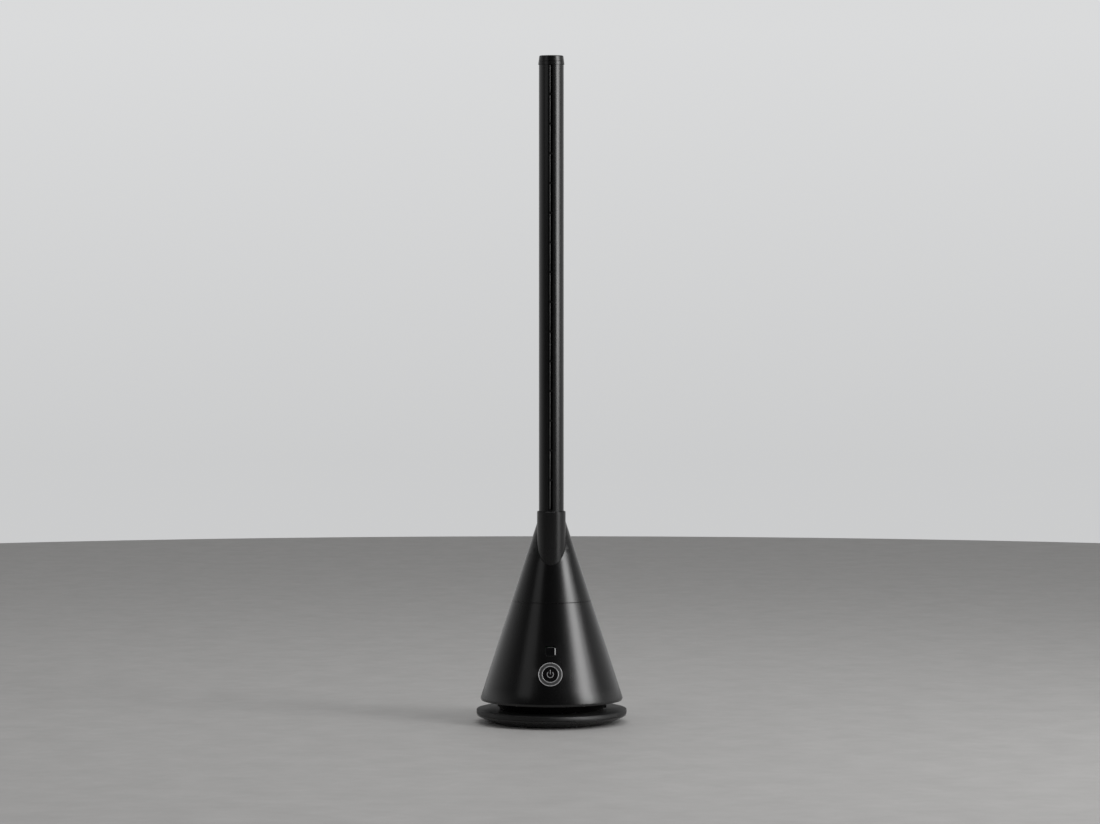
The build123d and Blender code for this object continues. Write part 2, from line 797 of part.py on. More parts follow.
# Lower casing: the wall with its thick rounded rim and the tongue that enters the upper one.
tongue_top = seam_high + tongue_height
rim_knee = rim_low + rim_rounding
with BuildPart() as lower_shell:
    turn([(rim_inner, rim_low),
          (cone_radius(rim_knee) - rim_inset, rim_low), (cone_radius(rim_knee), rim_knee),
          (cone_radius(seam_low), seam_low), (cone_radius(seam_low) - tongue_outer, seam_low),
          (cone_radius(tongue_top) - tongue_outer, tongue_top),
          (cone_radius(tongue_top) - radial_wall, tongue_top),
          (cone_radius(rim_taper_top) - radial_wall, rim_taper_top)])
    knee = lower_shell.edges().filter_by(
        lambda edge: abs(edge.center().Z - rim_knee) < 0.01)
    fillet(knee, 2 * rim_rounding / 3)
    with PolarLocations(shell_screw_ring_radius, spoke_count):
        rod(shell_boss_radius, spoke_top, shell_boss_top)
    with PolarLocations(bush_ring_radius, bush_count, start_angle=45):
        rod(bush_radius, bush_low - bush_boss_length, bush_low)
    with PolarLocations(0, bush_count, start_angle=45):
        add(web.part)
    with BuildSketch(front_plane.offset(-front_board_depth)) as front_bosses:
        for up in (front_boss_low, front_boss_high):
            with Locations((-front_boss_side, up), (front_boss_side, up)):
                Circle(front_boss_radius)
    extrude(front_bosses.sketch, amount=front_board_depth - 0.8 * shell_wall)
    with PolarLocations(shell_screw_ring_radius, spoke_count):
        rod(shell_screw_radius + slip / 2, spoke_top, shell_boss_top - 2, mode=Mode.SUBTRACT)
    with PolarLocations(bush_ring_radius, bush_count, start_angle=45):
        rod(bush_screw_radius + slip / 2, bush_low - bush_boss_length + 1, bush_low,
            mode=Mode.SUBTRACT)
    with BuildSketch(front_plane.offset(-front_board_depth)) as front_pilots:
        for up in (front_boss_low, front_boss_high):
            with Locations((-front_boss_side, up), (front_boss_side, up)):
                Circle(front_screw_radius + slip / 2)
    extrude(front_pilots.sketch, amount=front_screw_length, mode=Mode.SUBTRACT)
    front_disc(ring_radius + slip, ring_skirt + 2, -2 * ring_proud, mode=Mode.SUBTRACT)
    window_block(slip, 2 * shell_wall, -2 * shell_wall, mode=Mode.SUBTRACT)
write(lower_shell, "lower_shell")


def back_cut_block(shift):
    """Everything above the slanted top of the cone, moved down by a shift."""
    slant = sqrt(1 + back_cut_slope**2)
    top = Plane((0, 0, back_cut_height - shift * slant), x_dir=(1, 0, 0),
                z_dir=(0, back_cut_slope / slant, 1 / slant))
    with BuildSketch(top) as cut:
        Rectangle(4 * base_radius, 4 * base_radius)
    extrude(cut.sketch, amount=base_radius, mode=Mode.SUBTRACT)


# Room inside the upper casing: the cone less its wall, cut off under the slanted top.
with BuildPart() as upper_room:
    turn([(0, seam_high), (cone_radius(seam_high) - radial_wall, seam_high),
          (0, cone_apex - radial_wall / cone_slope)])
    back_cut_block(shell_wall)

with BuildPart() as upper_shell:
    add(cone_outside.part)
    back_cut_block(0)
    add(upper_room.part, mode=Mode.SUBTRACT)
    turn([(0, seam_high), (cone_radius(seam_high) - tongue_wall, seam_high),
          (cone_radius(seam_high + tongue_height + air) - tongue_wall,
           seam_high + tongue_height + air), (0, seam_high + tongue_height + air)],
         mode=Mode.SUBTRACT)
    for side in (-collar_ear_side, collar_ear_side):
        with Locations((side, -tube_forward, 0)):
            rod(collar_boss_radius, collar_low + collar_flange, back_cut_height)
    add(cone_outside.part, mode=Mode.INTERSECT)
    for side in (-collar_ear_side, collar_ear_side):
        with Locations((side, -tube_forward, 0)):
            rod(collar_screw_radius + slip / 2, collar_low,
                collar_low + collar_screw_length + pilot_extra, mode=Mode.SUBTRACT)
    with Locations((0, -tube_forward, 0)):
        rod(collar_radius + collar_gap, collar_low - collar_flange, cone_apex,
            mode=Mode.SUBTRACT)
write(upper_shell, "upper_shell")


# Button, window and the board behind them

with BuildPart() as button_ring:
    front_disc(ring_radius, ring_skirt, -ring_proud, bore=ring_bore)
    chamfer(button_ring.edges().sort_by(Axis.Y)[:2], ring_proud)
    front_disc(ring_flange_radius, ring_skirt + ring_flange, ring_skirt,
               bore=ring_bore + button_flange + air)
    front_disc(ring_bore + button_flange + air, ring_skirt, ring_lip, mode=Mode.SUBTRACT)
write(button_ring, "button_ring")

button_back = ring_lip + air + button_flange
switch_top = front_board_depth - switch_height
with BuildPart() as button_cap:
    front_disc(ring_bore - air, button_back, 0)
    front_disc(ring_bore + button_flange - air, button_back, ring_lip + air)
    front_disc(button_stem_radius, switch_top - button_travel - air, button_back)
write(button_cap, "button_cap")

plunger_deep = switch_top + button_travel / 2
with BuildPart() as switch_plunger:
    front_disc(plunger_radius, plunger_deep, switch_top - button_travel - air)
write(switch_plunger, "switch_plunger")

with BuildPart() as tact_switch:
    with BuildSketch(front_plane.offset(-front_board_depth)):
        Rectangle(switch_size, switch_size)
    extrude(amount=switch_height)
    front_disc(plunger_radius + air, plunger_deep + button_travel + slip, 0,
               mode=Mode.SUBTRACT)
write(tact_switch, "tact_switch")

front_holes = [(side, up) for side in (-front_boss_side, front_boss_side)
               for up in (front_boss_low, front_boss_high)]
with BuildPart() as front_board:
    with BuildSketch(front_plane.offset(-front_board_depth - board_thickness)):
        with Locations((0, (front_board_low + front_board_high) / 2)):
            Rectangle(front_board_width, front_board_high - front_board_low)
        with Locations(*front_holes):
            Circle(front_screw_radius + 2 * slip, mode=Mode.SUBTRACT)
    extrude(amount=board_thickness)
    with BuildSketch(front_plane.offset(-front_board_depth)) as display_parts:
        with Locations((0, window_up)):
            Rectangle(window_width - 4, window_tall - 4)
    extrude(display_parts.sketch, amount=3)
write(front_board, "front_board")

with BuildPart() as front_board_screws:
    board_back = front_board_depth + board_thickness
    with BuildSketch(front_plane.offset(-board_back - 1.4)) as heads:
        with Locations(*front_holes):
            Circle(2.2)
    extrude(heads.sketch, amount=1.4)
    with BuildSketch(front_plane.offset(-board_back)) as shanks:
        with Locations(*front_holes):
            Circle(front_screw_radius)
    extrude(shanks.sketch, amount=front_screw_length)
write(front_board_screws, "front_board_screws")

with BuildPart() as display_window:
    window_block(0, shell_wall + 2 * air, -window_proud)
    window_block(window_flange, shell_wall + 2 * air + window_flange / 2,
                 shell_wall + 2 * air)
write(display_window, "display_window")


# Control board

with BuildPart() as control_board:
    with BuildSketch(Plane.XY.offset(control_low)):
        with Locations((0, (control_front + control_back) / 2)):
            Rectangle(control_width, control_depth)
        with Locations(*[(side, depth) for side, depth, _ in control_bosses]):
            Circle(board_screw_radius + slip, mode=Mode.SUBTRACT)
    extrude(amount=board_thickness)
    board_top = control_low + board_thickness
    control_middle = (control_front + control_back) / 2
    with Locations((-part_spread, control_middle, 0)):
        rod(capacitor_radius, board_top, board_top + capacitor_height)
    with Locations((part_spread, control_middle, board_top)):
        Box(*choke_size, align=FROM_BELOW)
    with Locations((0, control_middle, board_top)):
        Box(*chip_size, align=FROM_BELOW)
write(control_board, "control_board")

with BuildPart() as board_screws:
    with Locations(*control_bosses):
        screw(board_screw_head_radius, board_top, board_top + board_screw_head_height,
              board_screw_radius, board_top - board_screw_length)
write(board_screws, "board_screws")

# Lead from the top of the post to the board, over the clip.
lead_over = post_top + 2 * lead_radius
with BuildPart() as board_lead:
    with BuildLine():
        FilletPolyline((0, 0, gear_low + air), (0, 0, lead_over + lead_radius),
                       (0, control_front + lead_inset, lead_over + lead_radius),
                       (0, control_front + lead_inset, board_top), radius=board_lead_bend)
    with BuildSketch(Plane((0, 0, gear_low + air))):
        Circle(lead_radius)
    sweep()
write(board_lead, "board_lead")


# Blower

def hub_height(fraction):
    """Height on the hub between its nose and its back."""
    return wheel_low + fraction * (wheel_high - wheel_low)


hub_middle = (hub_middle_radius, hub_height(hub_middle_share))


def twisted_blade(low, high, inner, outer, thickness, whole_turn):
    """One upright sheet that turns as it rises, most of all at its foot."""
    shares = [step / blade_steps for step in range(blade_steps + 1)]
    levels = [low + (high - low) * share for share in shares]
    turns = [whole_turn * (1 - (1 - share) ** 2) for share in shares]
    with BuildPart() as sheet:
        for level, angle in zip(levels, turns):
            with BuildSketch(Plane.XY.offset(level).rotated((0, 0, angle))):
                with Locations(((inner + outer) / 2, 0)):
                    Rectangle(outer - inner, thickness)
        loft()
    return sheet


# Room that a blade may fill, from just inside the hub's surface out to the tip gap.
tip_slope = (stage_radius - shroud_throat_radius) / (stage_low - shroud_throat_low)
with BuildPart() as blade_room:
    with BuildSketch(Plane.XZ):
        with BuildLine():
            tip_low = (shroud_throat_radius - tip_gap, shroud_throat_low)
            tip_high = (shroud_throat_radius - tip_gap + tip_slope * (wheel_high - wheel_low),
                        wheel_high)
            root_low = (hub_nose_radius - blade_sink, wheel_low)
            root_middle = (hub_middle[0] - blade_sink, hub_middle[1])
            root_high = (hub_back_radius - blade_sink, wheel_high)
            Polyline(root_low, tip_low, tip_high, root_high)
            Spline(root_high, root_middle, root_low)
        make_face()
    revolve(axis=Axis.Z)

one_blade = twisted_blade(wheel_low, wheel_high, blade_root_radius,
                          stage_radius + shroud_wall, blade_thickness, blade_turn)
with BuildPart() as blade:
    add(one_blade.part)
    add(blade_room.part, mode=Mode.INTERSECT)

hub_web = hub_height(hub_web_share)
hub_sleeve = shaft_radius + hub_sleeve_wall
with BuildPart() as impeller:
    with BuildSketch(Plane.XZ):
        with BuildLine():
            Spline((hub_nose_radius, wheel_low), hub_middle, (hub_back_radius, wheel_high))
            Line((hub_back_radius, wheel_high), (hub_back_radius - hub_wall_thickness, wheel_high))
            Spline((hub_back_radius - hub_wall_thickness, wheel_high),
                   (hub_middle[0] - hub_wall_thickness, hub_middle[1] + hub_wall_thickness / 2),
                   (hub_nose_radius - hub_wall_thickness, hub_web))
            Polyline((hub_nose_radius - hub_wall_thickness, hub_web), (hub_sleeve, hub_web),
                     (hub_sleeve, wheel_high - hub_sleeve_drop),
                     (shaft_radius + slip / 2, wheel_high - hub_sleeve_drop),
                     (shaft_radius + slip / 2, wheel_low), (hub_nose_radius, wheel_low))
        make_face()
    revolve(axis=Axis.Z)
    with PolarLocations(0, blade_count):
        add(blade.part)
write(impeller, "impeller")

with BuildPart() as impeller_nut:
    with BuildSketch(Plane.XY.offset(wheel_low - nut_height)):
        RegularPolygon(nut_radius, 6)
        Circle(shaft_radius + slip / 2, mode=Mode.SUBTRACT)
    extrude(amount=nut_height)
write(impeller_nut, "impeller_nut")

# Inlet bell and the casing round the impeller, with a lap that centres the diffuser.
with BuildPart() as impeller_shroud:
    with BuildSketch(Plane.XZ):
        with BuildLine():
            mouth = (shroud_mouth_radius, shroud_low)
            throat = (shroud_throat_radius, shroud_throat_low)
            RadiusArc(mouth, throat, -2 * (shroud_mouth_radius - shroud_throat_radius))
            Polyline(throat, (stage_radius, stage_low),
                     (stage_radius + shroud_wall, stage_low),
                     (stage_radius + shroud_wall, stage_low + 6),
                     (stage_radius + 2 * shroud_wall, stage_low + 6),
                     (stage_radius + 2 * shroud_wall, shroud_lap_low),
                     (shroud_throat_radius + shroud_wall, shroud_throat_low + 1),
                     (shroud_mouth_radius + 1, shroud_low + shroud_wall), mouth)
        make_face()
    revolve(axis=Axis.Z)
write(impeller_shroud, "impeller_shroud")

# Diffuser: motor bucket, straightening vanes and outer ring in one moulding.
vane_room_inner = bucket_radius - bucket_wall / 2
one_vane = twisted_blade(vane_low, vane_high, vane_room_inner - 6, stage_radius + 4,
                         vane_thickness, -vane_turn)
with BuildPart() as vane:
    add(one_vane.part)
    ring(vane_room_inner, stage_radius + shroud_wall / 2, vane_low, vane_high,
         mode=Mode.INTERSECT)

with BuildPart() as diffuser:
    bucket_inner = bucket_radius - bucket_wall
    turn([(bearing_radius, stage_low), (bucket_radius, stage_low),
          (bucket_radius, diffuser_high), (bucket_inner, diffuser_high),
          (bucket_inner, motor_low), (bearing_radius, motor_low)])
    outer_wall = stage_radius + shroud_wall - slip
    turn([(stage_radius, stage_low), (outer_wall, stage_low),
          (outer_wall, diffuser_flange_low), (flange_radius, diffuser_flange_low),
          (flange_radius, diffuser_high), (stage_radius, diffuser_high)])
    with PolarLocations(0, vane_count):
        add(vane.part)
    with PolarLocations(bush_ring_radius, bush_count, start_angle=45):
        rod(bush_screw_radius + slip, diffuser_flange_low, diffuser_high, mode=Mode.SUBTRACT)
    with PolarLocations(motor_screw_ring_radius, motor_screw_count):
        rod(motor_screw_radius + air, stage_low, motor_low, mode=Mode.SUBTRACT)
write(diffuser, "diffuser")

dome_radius = (bucket_radius**2 + dome_height**2) / (2 * dome_height)
dome_centre = diffuser_high + dome_height - dome_radius
with BuildPart() as motor_dome:
    with Locations((0, 0, dome_centre)):
        Sphere(dome_radius)
        Sphere(dome_radius - bucket_wall, mode=Mode.SUBTRACT)
    rod(2 * dome_radius, dome_centre - 2 * dome_radius, diffuser_high, mode=Mode.SUBTRACT)
write(motor_dome, "motor_dome")

# Motor: cup, end cap, two bearings, poles with their windings, magnet rotor and shaft.
seat = bearing_radius + slip / 2
bearing_ledge = motor_low + motor_wall
with BuildPart() as motor_housing:
    cap_seat = motor_high - motor_cap_thickness
    turn([(bearing_radius - bearing_lip, motor_low), (motor_radius, motor_low), (motor_radius, cap_seat),
          (motor_radius - motor_wall, cap_seat), (motor_radius - motor_wall, bearing_ledge),
          (seat + bearing_lip, bearing_ledge),
          (seat + bearing_lip, bearing_ledge + bearing_width),
          (seat, bearing_ledge + bearing_width), (seat, bearing_ledge),
          (bearing_radius - bearing_lip, bearing_ledge)])
    with PolarLocations(motor_screw_ring_radius, motor_screw_count):
        rod(motor_screw_radius + slip / 2, motor_low, bearing_ledge, mode=Mode.SUBTRACT)
write(motor_housing, "motor_housing")

upper_bearing_low = cap_seat - bearing_width
with BuildPart() as motor_cap:
    turn([(shaft_radius + shaft_hole_air, cap_seat), (seat, cap_seat),
          (seat, upper_bearing_low), (seat + bearing_lip, upper_bearing_low),
          (seat + bearing_lip, cap_seat), (motor_radius, cap_seat),
          (motor_radius, motor_high), (shaft_radius + shaft_hole_air, motor_high)])
write(motor_cap, "motor_cap")

with BuildPart() as motor_bearings:
    for low in (bearing_ledge, upper_bearing_low):
        ring(shaft_radius + running, bearing_radius, low, low + bearing_width)
write(motor_bearings, "motor_bearings")

stator_outer = motor_radius - motor_wall - slip / 2
with BuildPart() as stator_core:
    with BuildSketch(Plane.XY.offset(stator_low)):
        Circle(stator_outer)
        Circle(stator_outer - stator_yoke, mode=Mode.SUBTRACT)
        with PolarLocations((stator_bore + stator_outer) / 2 - pole_foot, pole_count):
            Rectangle(stator_outer - stator_bore - 2 * pole_foot, pole_width)
        Circle(stator_bore, mode=Mode.SUBTRACT)
    extrude(amount=stator_high - stator_low)
write(stator_core, "stator_core")

coil_inner = stator_bore + 2 * winding_gap
coil_outer = stator_outer - stator_yoke - winding_gap
with BuildPart() as stator_windings:
    with BuildSketch(Plane.XY.offset(stator_low - winding_rise)):
        with PolarLocations((coil_inner + coil_outer) / 2, pole_count):
            Rectangle(coil_outer - coil_inner, winding_width)
    extrude(amount=stator_high - stator_low + 2 * winding_rise)
    with BuildSketch(Plane.XY.offset(stator_low - slip / 2)):
        with PolarLocations((coil_inner + coil_outer) / 2, pole_count):
            Rectangle(coil_outer - coil_inner + 2 * winding_gap, pole_width + slip)
    extrude(amount=stator_high - stator_low + slip, mode=Mode.SUBTRACT)
write(stator_windings, "stator_windings")

with BuildPart() as motor_rotor:
    ring(shaft_radius + slip / 2, rotor_radius, stator_low, stator_high)
    rims = motor_rotor.edges().filter_by(GeomType.CIRCLE).sort_by(SortBy.RADIUS)
    chamfer(rims[-2:], rotor_bevel)
write(motor_rotor, "motor_rotor")

with BuildPart() as motor_shaft:
    rod(shaft_radius, shaft_low, motor_high - shaft_end_drop)
    chamfer(motor_shaft.edges().filter_by(GeomType.CIRCLE), shaft_bevel)
write(motor_shaft, "motor_shaft")

with BuildPart() as motor_screws:
    with PolarLocations(motor_screw_ring_radius, motor_screw_count):
        screw(motor_screw_head_radius, stage_low - motor_screw_head_height, stage_low,
              motor_screw_radius, bearing_ledge)
write(motor_screws, "motor_screws")

# Soft mounting of the blower on the casing, and the gasket under the duct.
with BuildPart() as blower_bushes:
    with PolarLocations(bush_ring_radius, bush_count, start_angle=45):
        rod(bush_radius, bush_low, diffuser_flange_low)
        rod(bush_screw_radius + slip, bush_low, diffuser_flange_low, mode=Mode.SUBTRACT)
write(blower_bushes, "blower_bushes")

with BuildPart() as blower_screws:
    with PolarLocations(bush_ring_radius, bush_count, start_angle=45):
        screw(blower_head_radius, duct_flange_top, duct_flange_top + blower_head_height,
              bush_screw_radius, bush_low - bush_boss_length + pilot_extra)
write(blower_screws, "blower_screws")

with BuildPart() as duct_gasket:
    ring(stage_radius, flange_radius, diffuser_high, duct_low)
    with PolarLocations(bush_ring_radius, bush_count, start_angle=45):
        rod(bush_screw_radius + slip, diffuser_high, duct_low, mode=Mode.SUBTRACT)
write(duct_gasket, "duct_gasket")


# Duct, collar and tube

duct_foot_radius = stage_radius + duct_wall
duct_spigot = tube_radius - slip
with BuildPart() as outlet_duct:
    with BuildSketch(Plane.XY.offset(duct_low)):
        Circle(duct_foot_radius)
    with BuildSketch(Plane.XY.offset(duct_neck)):
        with Locations((0, -tube_forward)):
            Circle(duct_spigot)
    loft()
    ring(stage_radius, flange_radius, duct_low, duct_flange_top)
    tube_ring(0, duct_spigot, duct_neck, duct_high)
    with BuildSketch(Plane.XY.offset(duct_low)) as room_foot:
        Circle(duct_foot_radius - duct_wall)
    with BuildSketch(Plane.XY.offset(duct_neck)) as room_neck:
        with Locations((0, -tube_forward)):
            Circle(duct_spigot - duct_wall)
    loft([room_foot.sketch, room_neck.sketch], mode=Mode.SUBTRACT)
    tube_ring(0, duct_spigot - duct_wall, duct_neck, duct_high, mode=Mode.SUBTRACT)
    with PolarLocations(bush_ring_radius, bush_count, start_angle=45):
        rod(bush_screw_radius + slip, duct_low, duct_flange_top, mode=Mode.SUBTRACT)
        rod(blower_head_radius + slip, duct_flange_top,
            duct_flange_top + 2 * blower_head_height, mode=Mode.SUBTRACT)
write(outlet_duct, "outlet_duct")

with BuildPart() as tube_seal:
    tube_ring(duct_spigot - duct_wall, duct_spigot, duct_high, tube_low)
write(tube_seal, "tube_seal")

collar_ears = [(-collar_ear_side, -tube_forward, 0), (collar_ear_side, -tube_forward, 0)]
with BuildPart() as collar:
    tube_ring(tube_radius + slip, collar_radius, collar_low, collar_high)
    chamfer(collar.edges().group_by(Axis.Z)[-1], collar_bevel)
    with BuildSketch(Plane.XY.offset(collar_low)) as ears:
        with Locations((0, -tube_forward)):
            SlotCenterToCenter(2 * collar_ear_side, 2 * collar_ear_radius)
            Circle(tube_radius + slip, mode=Mode.SUBTRACT)
    extrude(ears.sketch, amount=collar_flange)
    with Locations(*collar_ears):
        rod(collar_screw_radius + slip, collar_low, collar_low + collar_flange,
            mode=Mode.SUBTRACT)
write(collar, "collar")

with BuildPart() as collar_screws:
    with Locations(*collar_ears):
        screw(collar_head_radius, collar_low - collar_head_height, collar_low,
              collar_screw_radius, collar_low + collar_screw_length)
write(collar_screws, "collar_screws")

# Outlet tube, with the slot open from just over the collar to the cap.
with BuildPart() as tube_shell:
    tube_ring(tube_bore, tube_radius, tube_low, cap_low)
    with BuildSketch(Plane.XY.offset(slot_low)):
        with Locations(((slot_right - slot_left) / 2, -tube_forward - tube_radius)):
            Rectangle(slot_left + slot_right, 2 * tube_radius - 8)
    extrude(amount=cap_low - slot_low, mode=Mode.SUBTRACT)
write(tube_shell, "tube_shell")

# Inner lips of the slot: two walls that line the tube, a raised lip and the cross ribs.
strip_outer = tube_bore - slip
strip_inner = strip_outer - strip_wall
lip_front = -tube_forward - tube_radius + lip_recess
strip_low = slot_low - 4
reach = radians(strip_reach)
wedge_front = -tube_forward - 2 * tube_radius * cos(reach)
rib_front = -tube_forward - tube_radius + rib_recess
strip_mid = -tube_forward - (strip_outer + strip_inner) / 2 + rib_sink
with BuildPart() as nozzle_strip:
    with BuildSketch(Plane.XY.offset(strip_low)):
        with Locations((0, -tube_forward)):
            Circle(strip_outer)
            Circle(strip_inner, mode=Mode.SUBTRACT)
            with BuildLine():
                Polyline((-2 * tube_radius * sin(reach), wedge_front), (0, -tube_forward),
                         (2 * tube_radius * sin(reach), wedge_front),
                         (0, wedge_front - 2 * tube_radius), close=True)
            make_face(mode=Mode.INTERSECT)
        with Locations(((slot_right - lip_right) / 2, -tube_forward - strip_outer)):
            Rectangle(slot_right + lip_right, 2 * tube_wall + 2 * strip_wall,
                      mode=Mode.SUBTRACT)
    extrude(amount=cap_low - air - strip_low)
    with BuildSketch(Plane.XY.offset(slot_low + slip)) as lip:
        with Locations((-(lip_left + lip_right) / 2, lip_front)):
            Rectangle(lip_left - lip_right, -lip_front - tube_forward - strip_inner - 0.5,
                      align=(Align.CENTER, Align.MIN))
    extrude(lip.sketch, amount=cap_low - air - slot_low - slip)
    for rib in range(1, rib_count + 1):
        with BuildSketch(Plane.XY.offset(slot_low + rib * slot_pitch - rib_height / 2)) as bar:
            with Locations((-lip_left, rib_front)):
                Rectangle(lip_left + slot_right - slip, strip_mid - rib_front,
                          align=(Align.MIN, Align.MIN))
            with Locations((-lip_right, strip_mid)):
                Rectangle(lip_right + slot_right + rib_root, strip_wall,
                          align=(Align.MIN, Align.CENTER))
        extrude(bar.sketch, amount=rib_height)
write(nozzle_strip, "nozzle_strip")

# Cap: a flared ring on the tube's end and a lid with a fine seam between them.
cap_slope = (cap_low_radius - cap_top_radius) / (total_height - cap_low)


def cap_radius(height):
    """Outer radius of the cap at a height."""
    return cap_low_radius - cap_slope * (height - cap_low)


spigot_radius = strip_inner - slip
lid_low = cap_seam + reveal
with BuildPart() as cap_ring:
    turn([(cap_bore, cap_low - cap_spigot), (spigot_radius, cap_low - cap_spigot),
          (spigot_radius, cap_low), (cap_low_radius, cap_low),
          (cap_radius(cap_seam), cap_seam), (cap_bore, cap_seam)],
         plane=tube_profile_plane, axis=tube_axis)
write(cap_ring, "cap_ring")

with BuildPart() as cap_lid:
    lid_plug = cap_bore - slip
    turn([(0, lid_low + 4), (lid_plug - cap_spigot_wall, lid_low + 4),
          (lid_plug - cap_spigot_wall, lid_low - 5), (lid_plug, lid_low - 5),
          (lid_plug, lid_low), (cap_radius(lid_low), lid_low),
          (cap_top_radius, total_height), (0, total_height)],
         plane=tube_profile_plane, axis=tube_axis)
    fillet(cap_lid.edges().group_by(Axis.Z)[-1], cap_top_rounding)
write(cap_lid, "cap_lid")
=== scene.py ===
# %% [markdown]
# ## Slim tower fan: load the frame
# The imported CAD model is the skeleton. Every finish and every extra piece below is placed
# by the CAD's own sizes, in metres, with the origin on the floor under the base disc.

# %% Load the imported model
import json
from math import atan, atan2, cos, degrees, hypot, pi, radians, sin

import bpy
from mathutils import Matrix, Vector

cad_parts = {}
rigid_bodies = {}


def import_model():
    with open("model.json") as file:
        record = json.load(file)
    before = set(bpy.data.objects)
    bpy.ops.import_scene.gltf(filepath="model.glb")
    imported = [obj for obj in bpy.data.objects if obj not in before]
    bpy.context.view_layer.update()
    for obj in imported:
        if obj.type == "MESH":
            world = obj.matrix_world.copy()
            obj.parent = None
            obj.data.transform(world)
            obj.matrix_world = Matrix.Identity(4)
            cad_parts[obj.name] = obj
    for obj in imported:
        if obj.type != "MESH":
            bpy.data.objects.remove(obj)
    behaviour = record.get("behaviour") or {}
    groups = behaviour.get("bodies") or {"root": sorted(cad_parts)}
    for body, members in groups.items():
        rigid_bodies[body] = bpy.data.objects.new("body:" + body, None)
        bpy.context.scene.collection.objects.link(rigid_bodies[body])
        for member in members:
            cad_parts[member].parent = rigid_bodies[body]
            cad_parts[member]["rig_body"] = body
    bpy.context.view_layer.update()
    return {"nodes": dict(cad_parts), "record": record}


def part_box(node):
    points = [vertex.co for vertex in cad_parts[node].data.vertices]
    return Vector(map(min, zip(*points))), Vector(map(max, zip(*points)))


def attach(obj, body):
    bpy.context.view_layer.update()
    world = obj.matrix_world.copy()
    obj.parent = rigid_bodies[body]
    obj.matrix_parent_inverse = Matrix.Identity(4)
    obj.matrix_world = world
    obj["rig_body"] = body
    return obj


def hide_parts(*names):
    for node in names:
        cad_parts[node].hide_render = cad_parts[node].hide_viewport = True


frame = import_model()
nodes = frame["nodes"]

# %% [markdown]
# ## Sizes that the looks share with the CAD
# A few of the fan's own dimensions are needed again here, because a mark has to lie on the
# slanted face of the cone and a bead has to follow the lip of a slot. The cone is a straight
# one: its radius at a height is the distance to its apex times its slope.

# %% Named sizes, in metres
MM = 0.001
CONE_APEX = 373.5 * MM
CONE_SLOPE = 0.324
BUTTON_HEIGHT = 82 * MM
TUBE_FORWARD = 20 * MM
TUBE_RADIUS = 19 * MM
TILT = atan(CONE_SLOPE)
FACE_TURN = (pi / 2 - TILT, 0, 0)


def cone_radius(height):
    """Radius of the outside of the cone at a height."""
    return (CONE_APEX - height) * CONE_SLOPE


face_out = Vector((0, -cos(TILT), sin(TILT)))
face_up = Vector((0, sin(TILT), cos(TILT)))
button_middle = Vector((0, -cone_radius(BUTTON_HEIGHT), BUTTON_HEIGHT))
print("slant of the front, degrees:", round(degrees(TILT), 2))

# %% [markdown]
# ## How the finishes are built
# Moulded plastic is never one flat colour: the tool leaves a fine even grain, handling
# leaves faint smears in the gloss, and dust settles in specks. A picture could carry all
# that, but noise stays sharp at any distance and needs no unwrapping. Each finish is made
# from the same few nodes, on Object coordinates so that the pattern stays with the piece:
# a broad noise shifts the colour, a streaky one shifts the roughness, and a fine one feeds
# the bump. What is the same all over a surface goes on the shader's own sockets.

# %% An empty material


def fresh(name):
    """A node material, its tree, its shader and its Object coordinates."""
    material = bpy.data.materials.new(name)
    material.use_nodes = True
    tree = material.node_tree
    tree.nodes.clear()
    shader = tree.nodes.new("ShaderNodeBsdfPrincipled")
    output = tree.nodes.new("ShaderNodeOutputMaterial")
    tree.links.new(shader.outputs["BSDF"], output.inputs["Surface"])
    place = tree.nodes.new("ShaderNodeTexCoord").outputs["Object"]
    return material, tree, shader, place


# %% Layers of noise
NOISE_LOW, NOISE_HIGH = 0.3, 0.7    # a noise seldom leaves this range


def stretched(tree, place, scale):
    """Object coordinates scaled differently along each axis."""
    mapping = tree.nodes.new("ShaderNodeMapping")
    mapping.inputs["Scale"].default_value = scale
    tree.links.new(place, mapping.inputs["Vector"])
    return mapping.outputs["Vector"]


def noise(tree, place, scale, detail=4.0):
    """A noise layer."""
    layer = tree.nodes.new("ShaderNodeTexNoise")
    layer.inputs["Scale"].default_value = scale
    layer.inputs["Detail"].default_value = detail
    tree.links.new(place, layer.inputs["Vector"])
    return layer.outputs["Fac"]


def ranged(tree, value, low, high, floor=NOISE_LOW, ceiling=NOISE_HIGH):
    """Map a value from between floor and ceiling onto a range."""
    node = tree.nodes.new("ShaderNodeMapRange")
    node.inputs["From Min"].default_value = floor
    node.inputs["From Max"].default_value = ceiling
    node.inputs["To Min"].default_value = low
    node.inputs["To Max"].default_value = high
    tree.links.new(value, node.inputs["Value"])
    return node.outputs["Result"]


# %% Joining layers


def combined(tree, operation, first, second):
    """Two values joined by a Math node."""
    node = tree.nodes.new("ShaderNodeMath")
    node.operation = operation
    tree.links.new(first, node.inputs[0])
    tree.links.new(second, node.inputs[1])
    return node.outputs["Value"]


def two_tone(tree, value, dark, light):
    """Mix two colours by a value."""
    node = tree.nodes.new("ShaderNodeMix")
    node.data_type = "RGBA"
    node.inputs["A"].default_value = (*dark, 1)
    node.inputs["B"].default_value = (*light, 1)
    tree.links.new(value, node.inputs["Factor"])
    return node.outputs["Result"]


def bumped(tree, value, depth, strength, under=None):
    """A layer of bump, on top of another one where that is given."""
    node = tree.nodes.new("ShaderNodeBump")
    node.inputs["Distance"].default_value = depth
    node.inputs["Strength"].default_value = strength
    tree.links.new(value, node.inputs["Height"])
    if under:
        tree.links.new(under, node.inputs["Normal"])
    return node.outputs["Normal"]


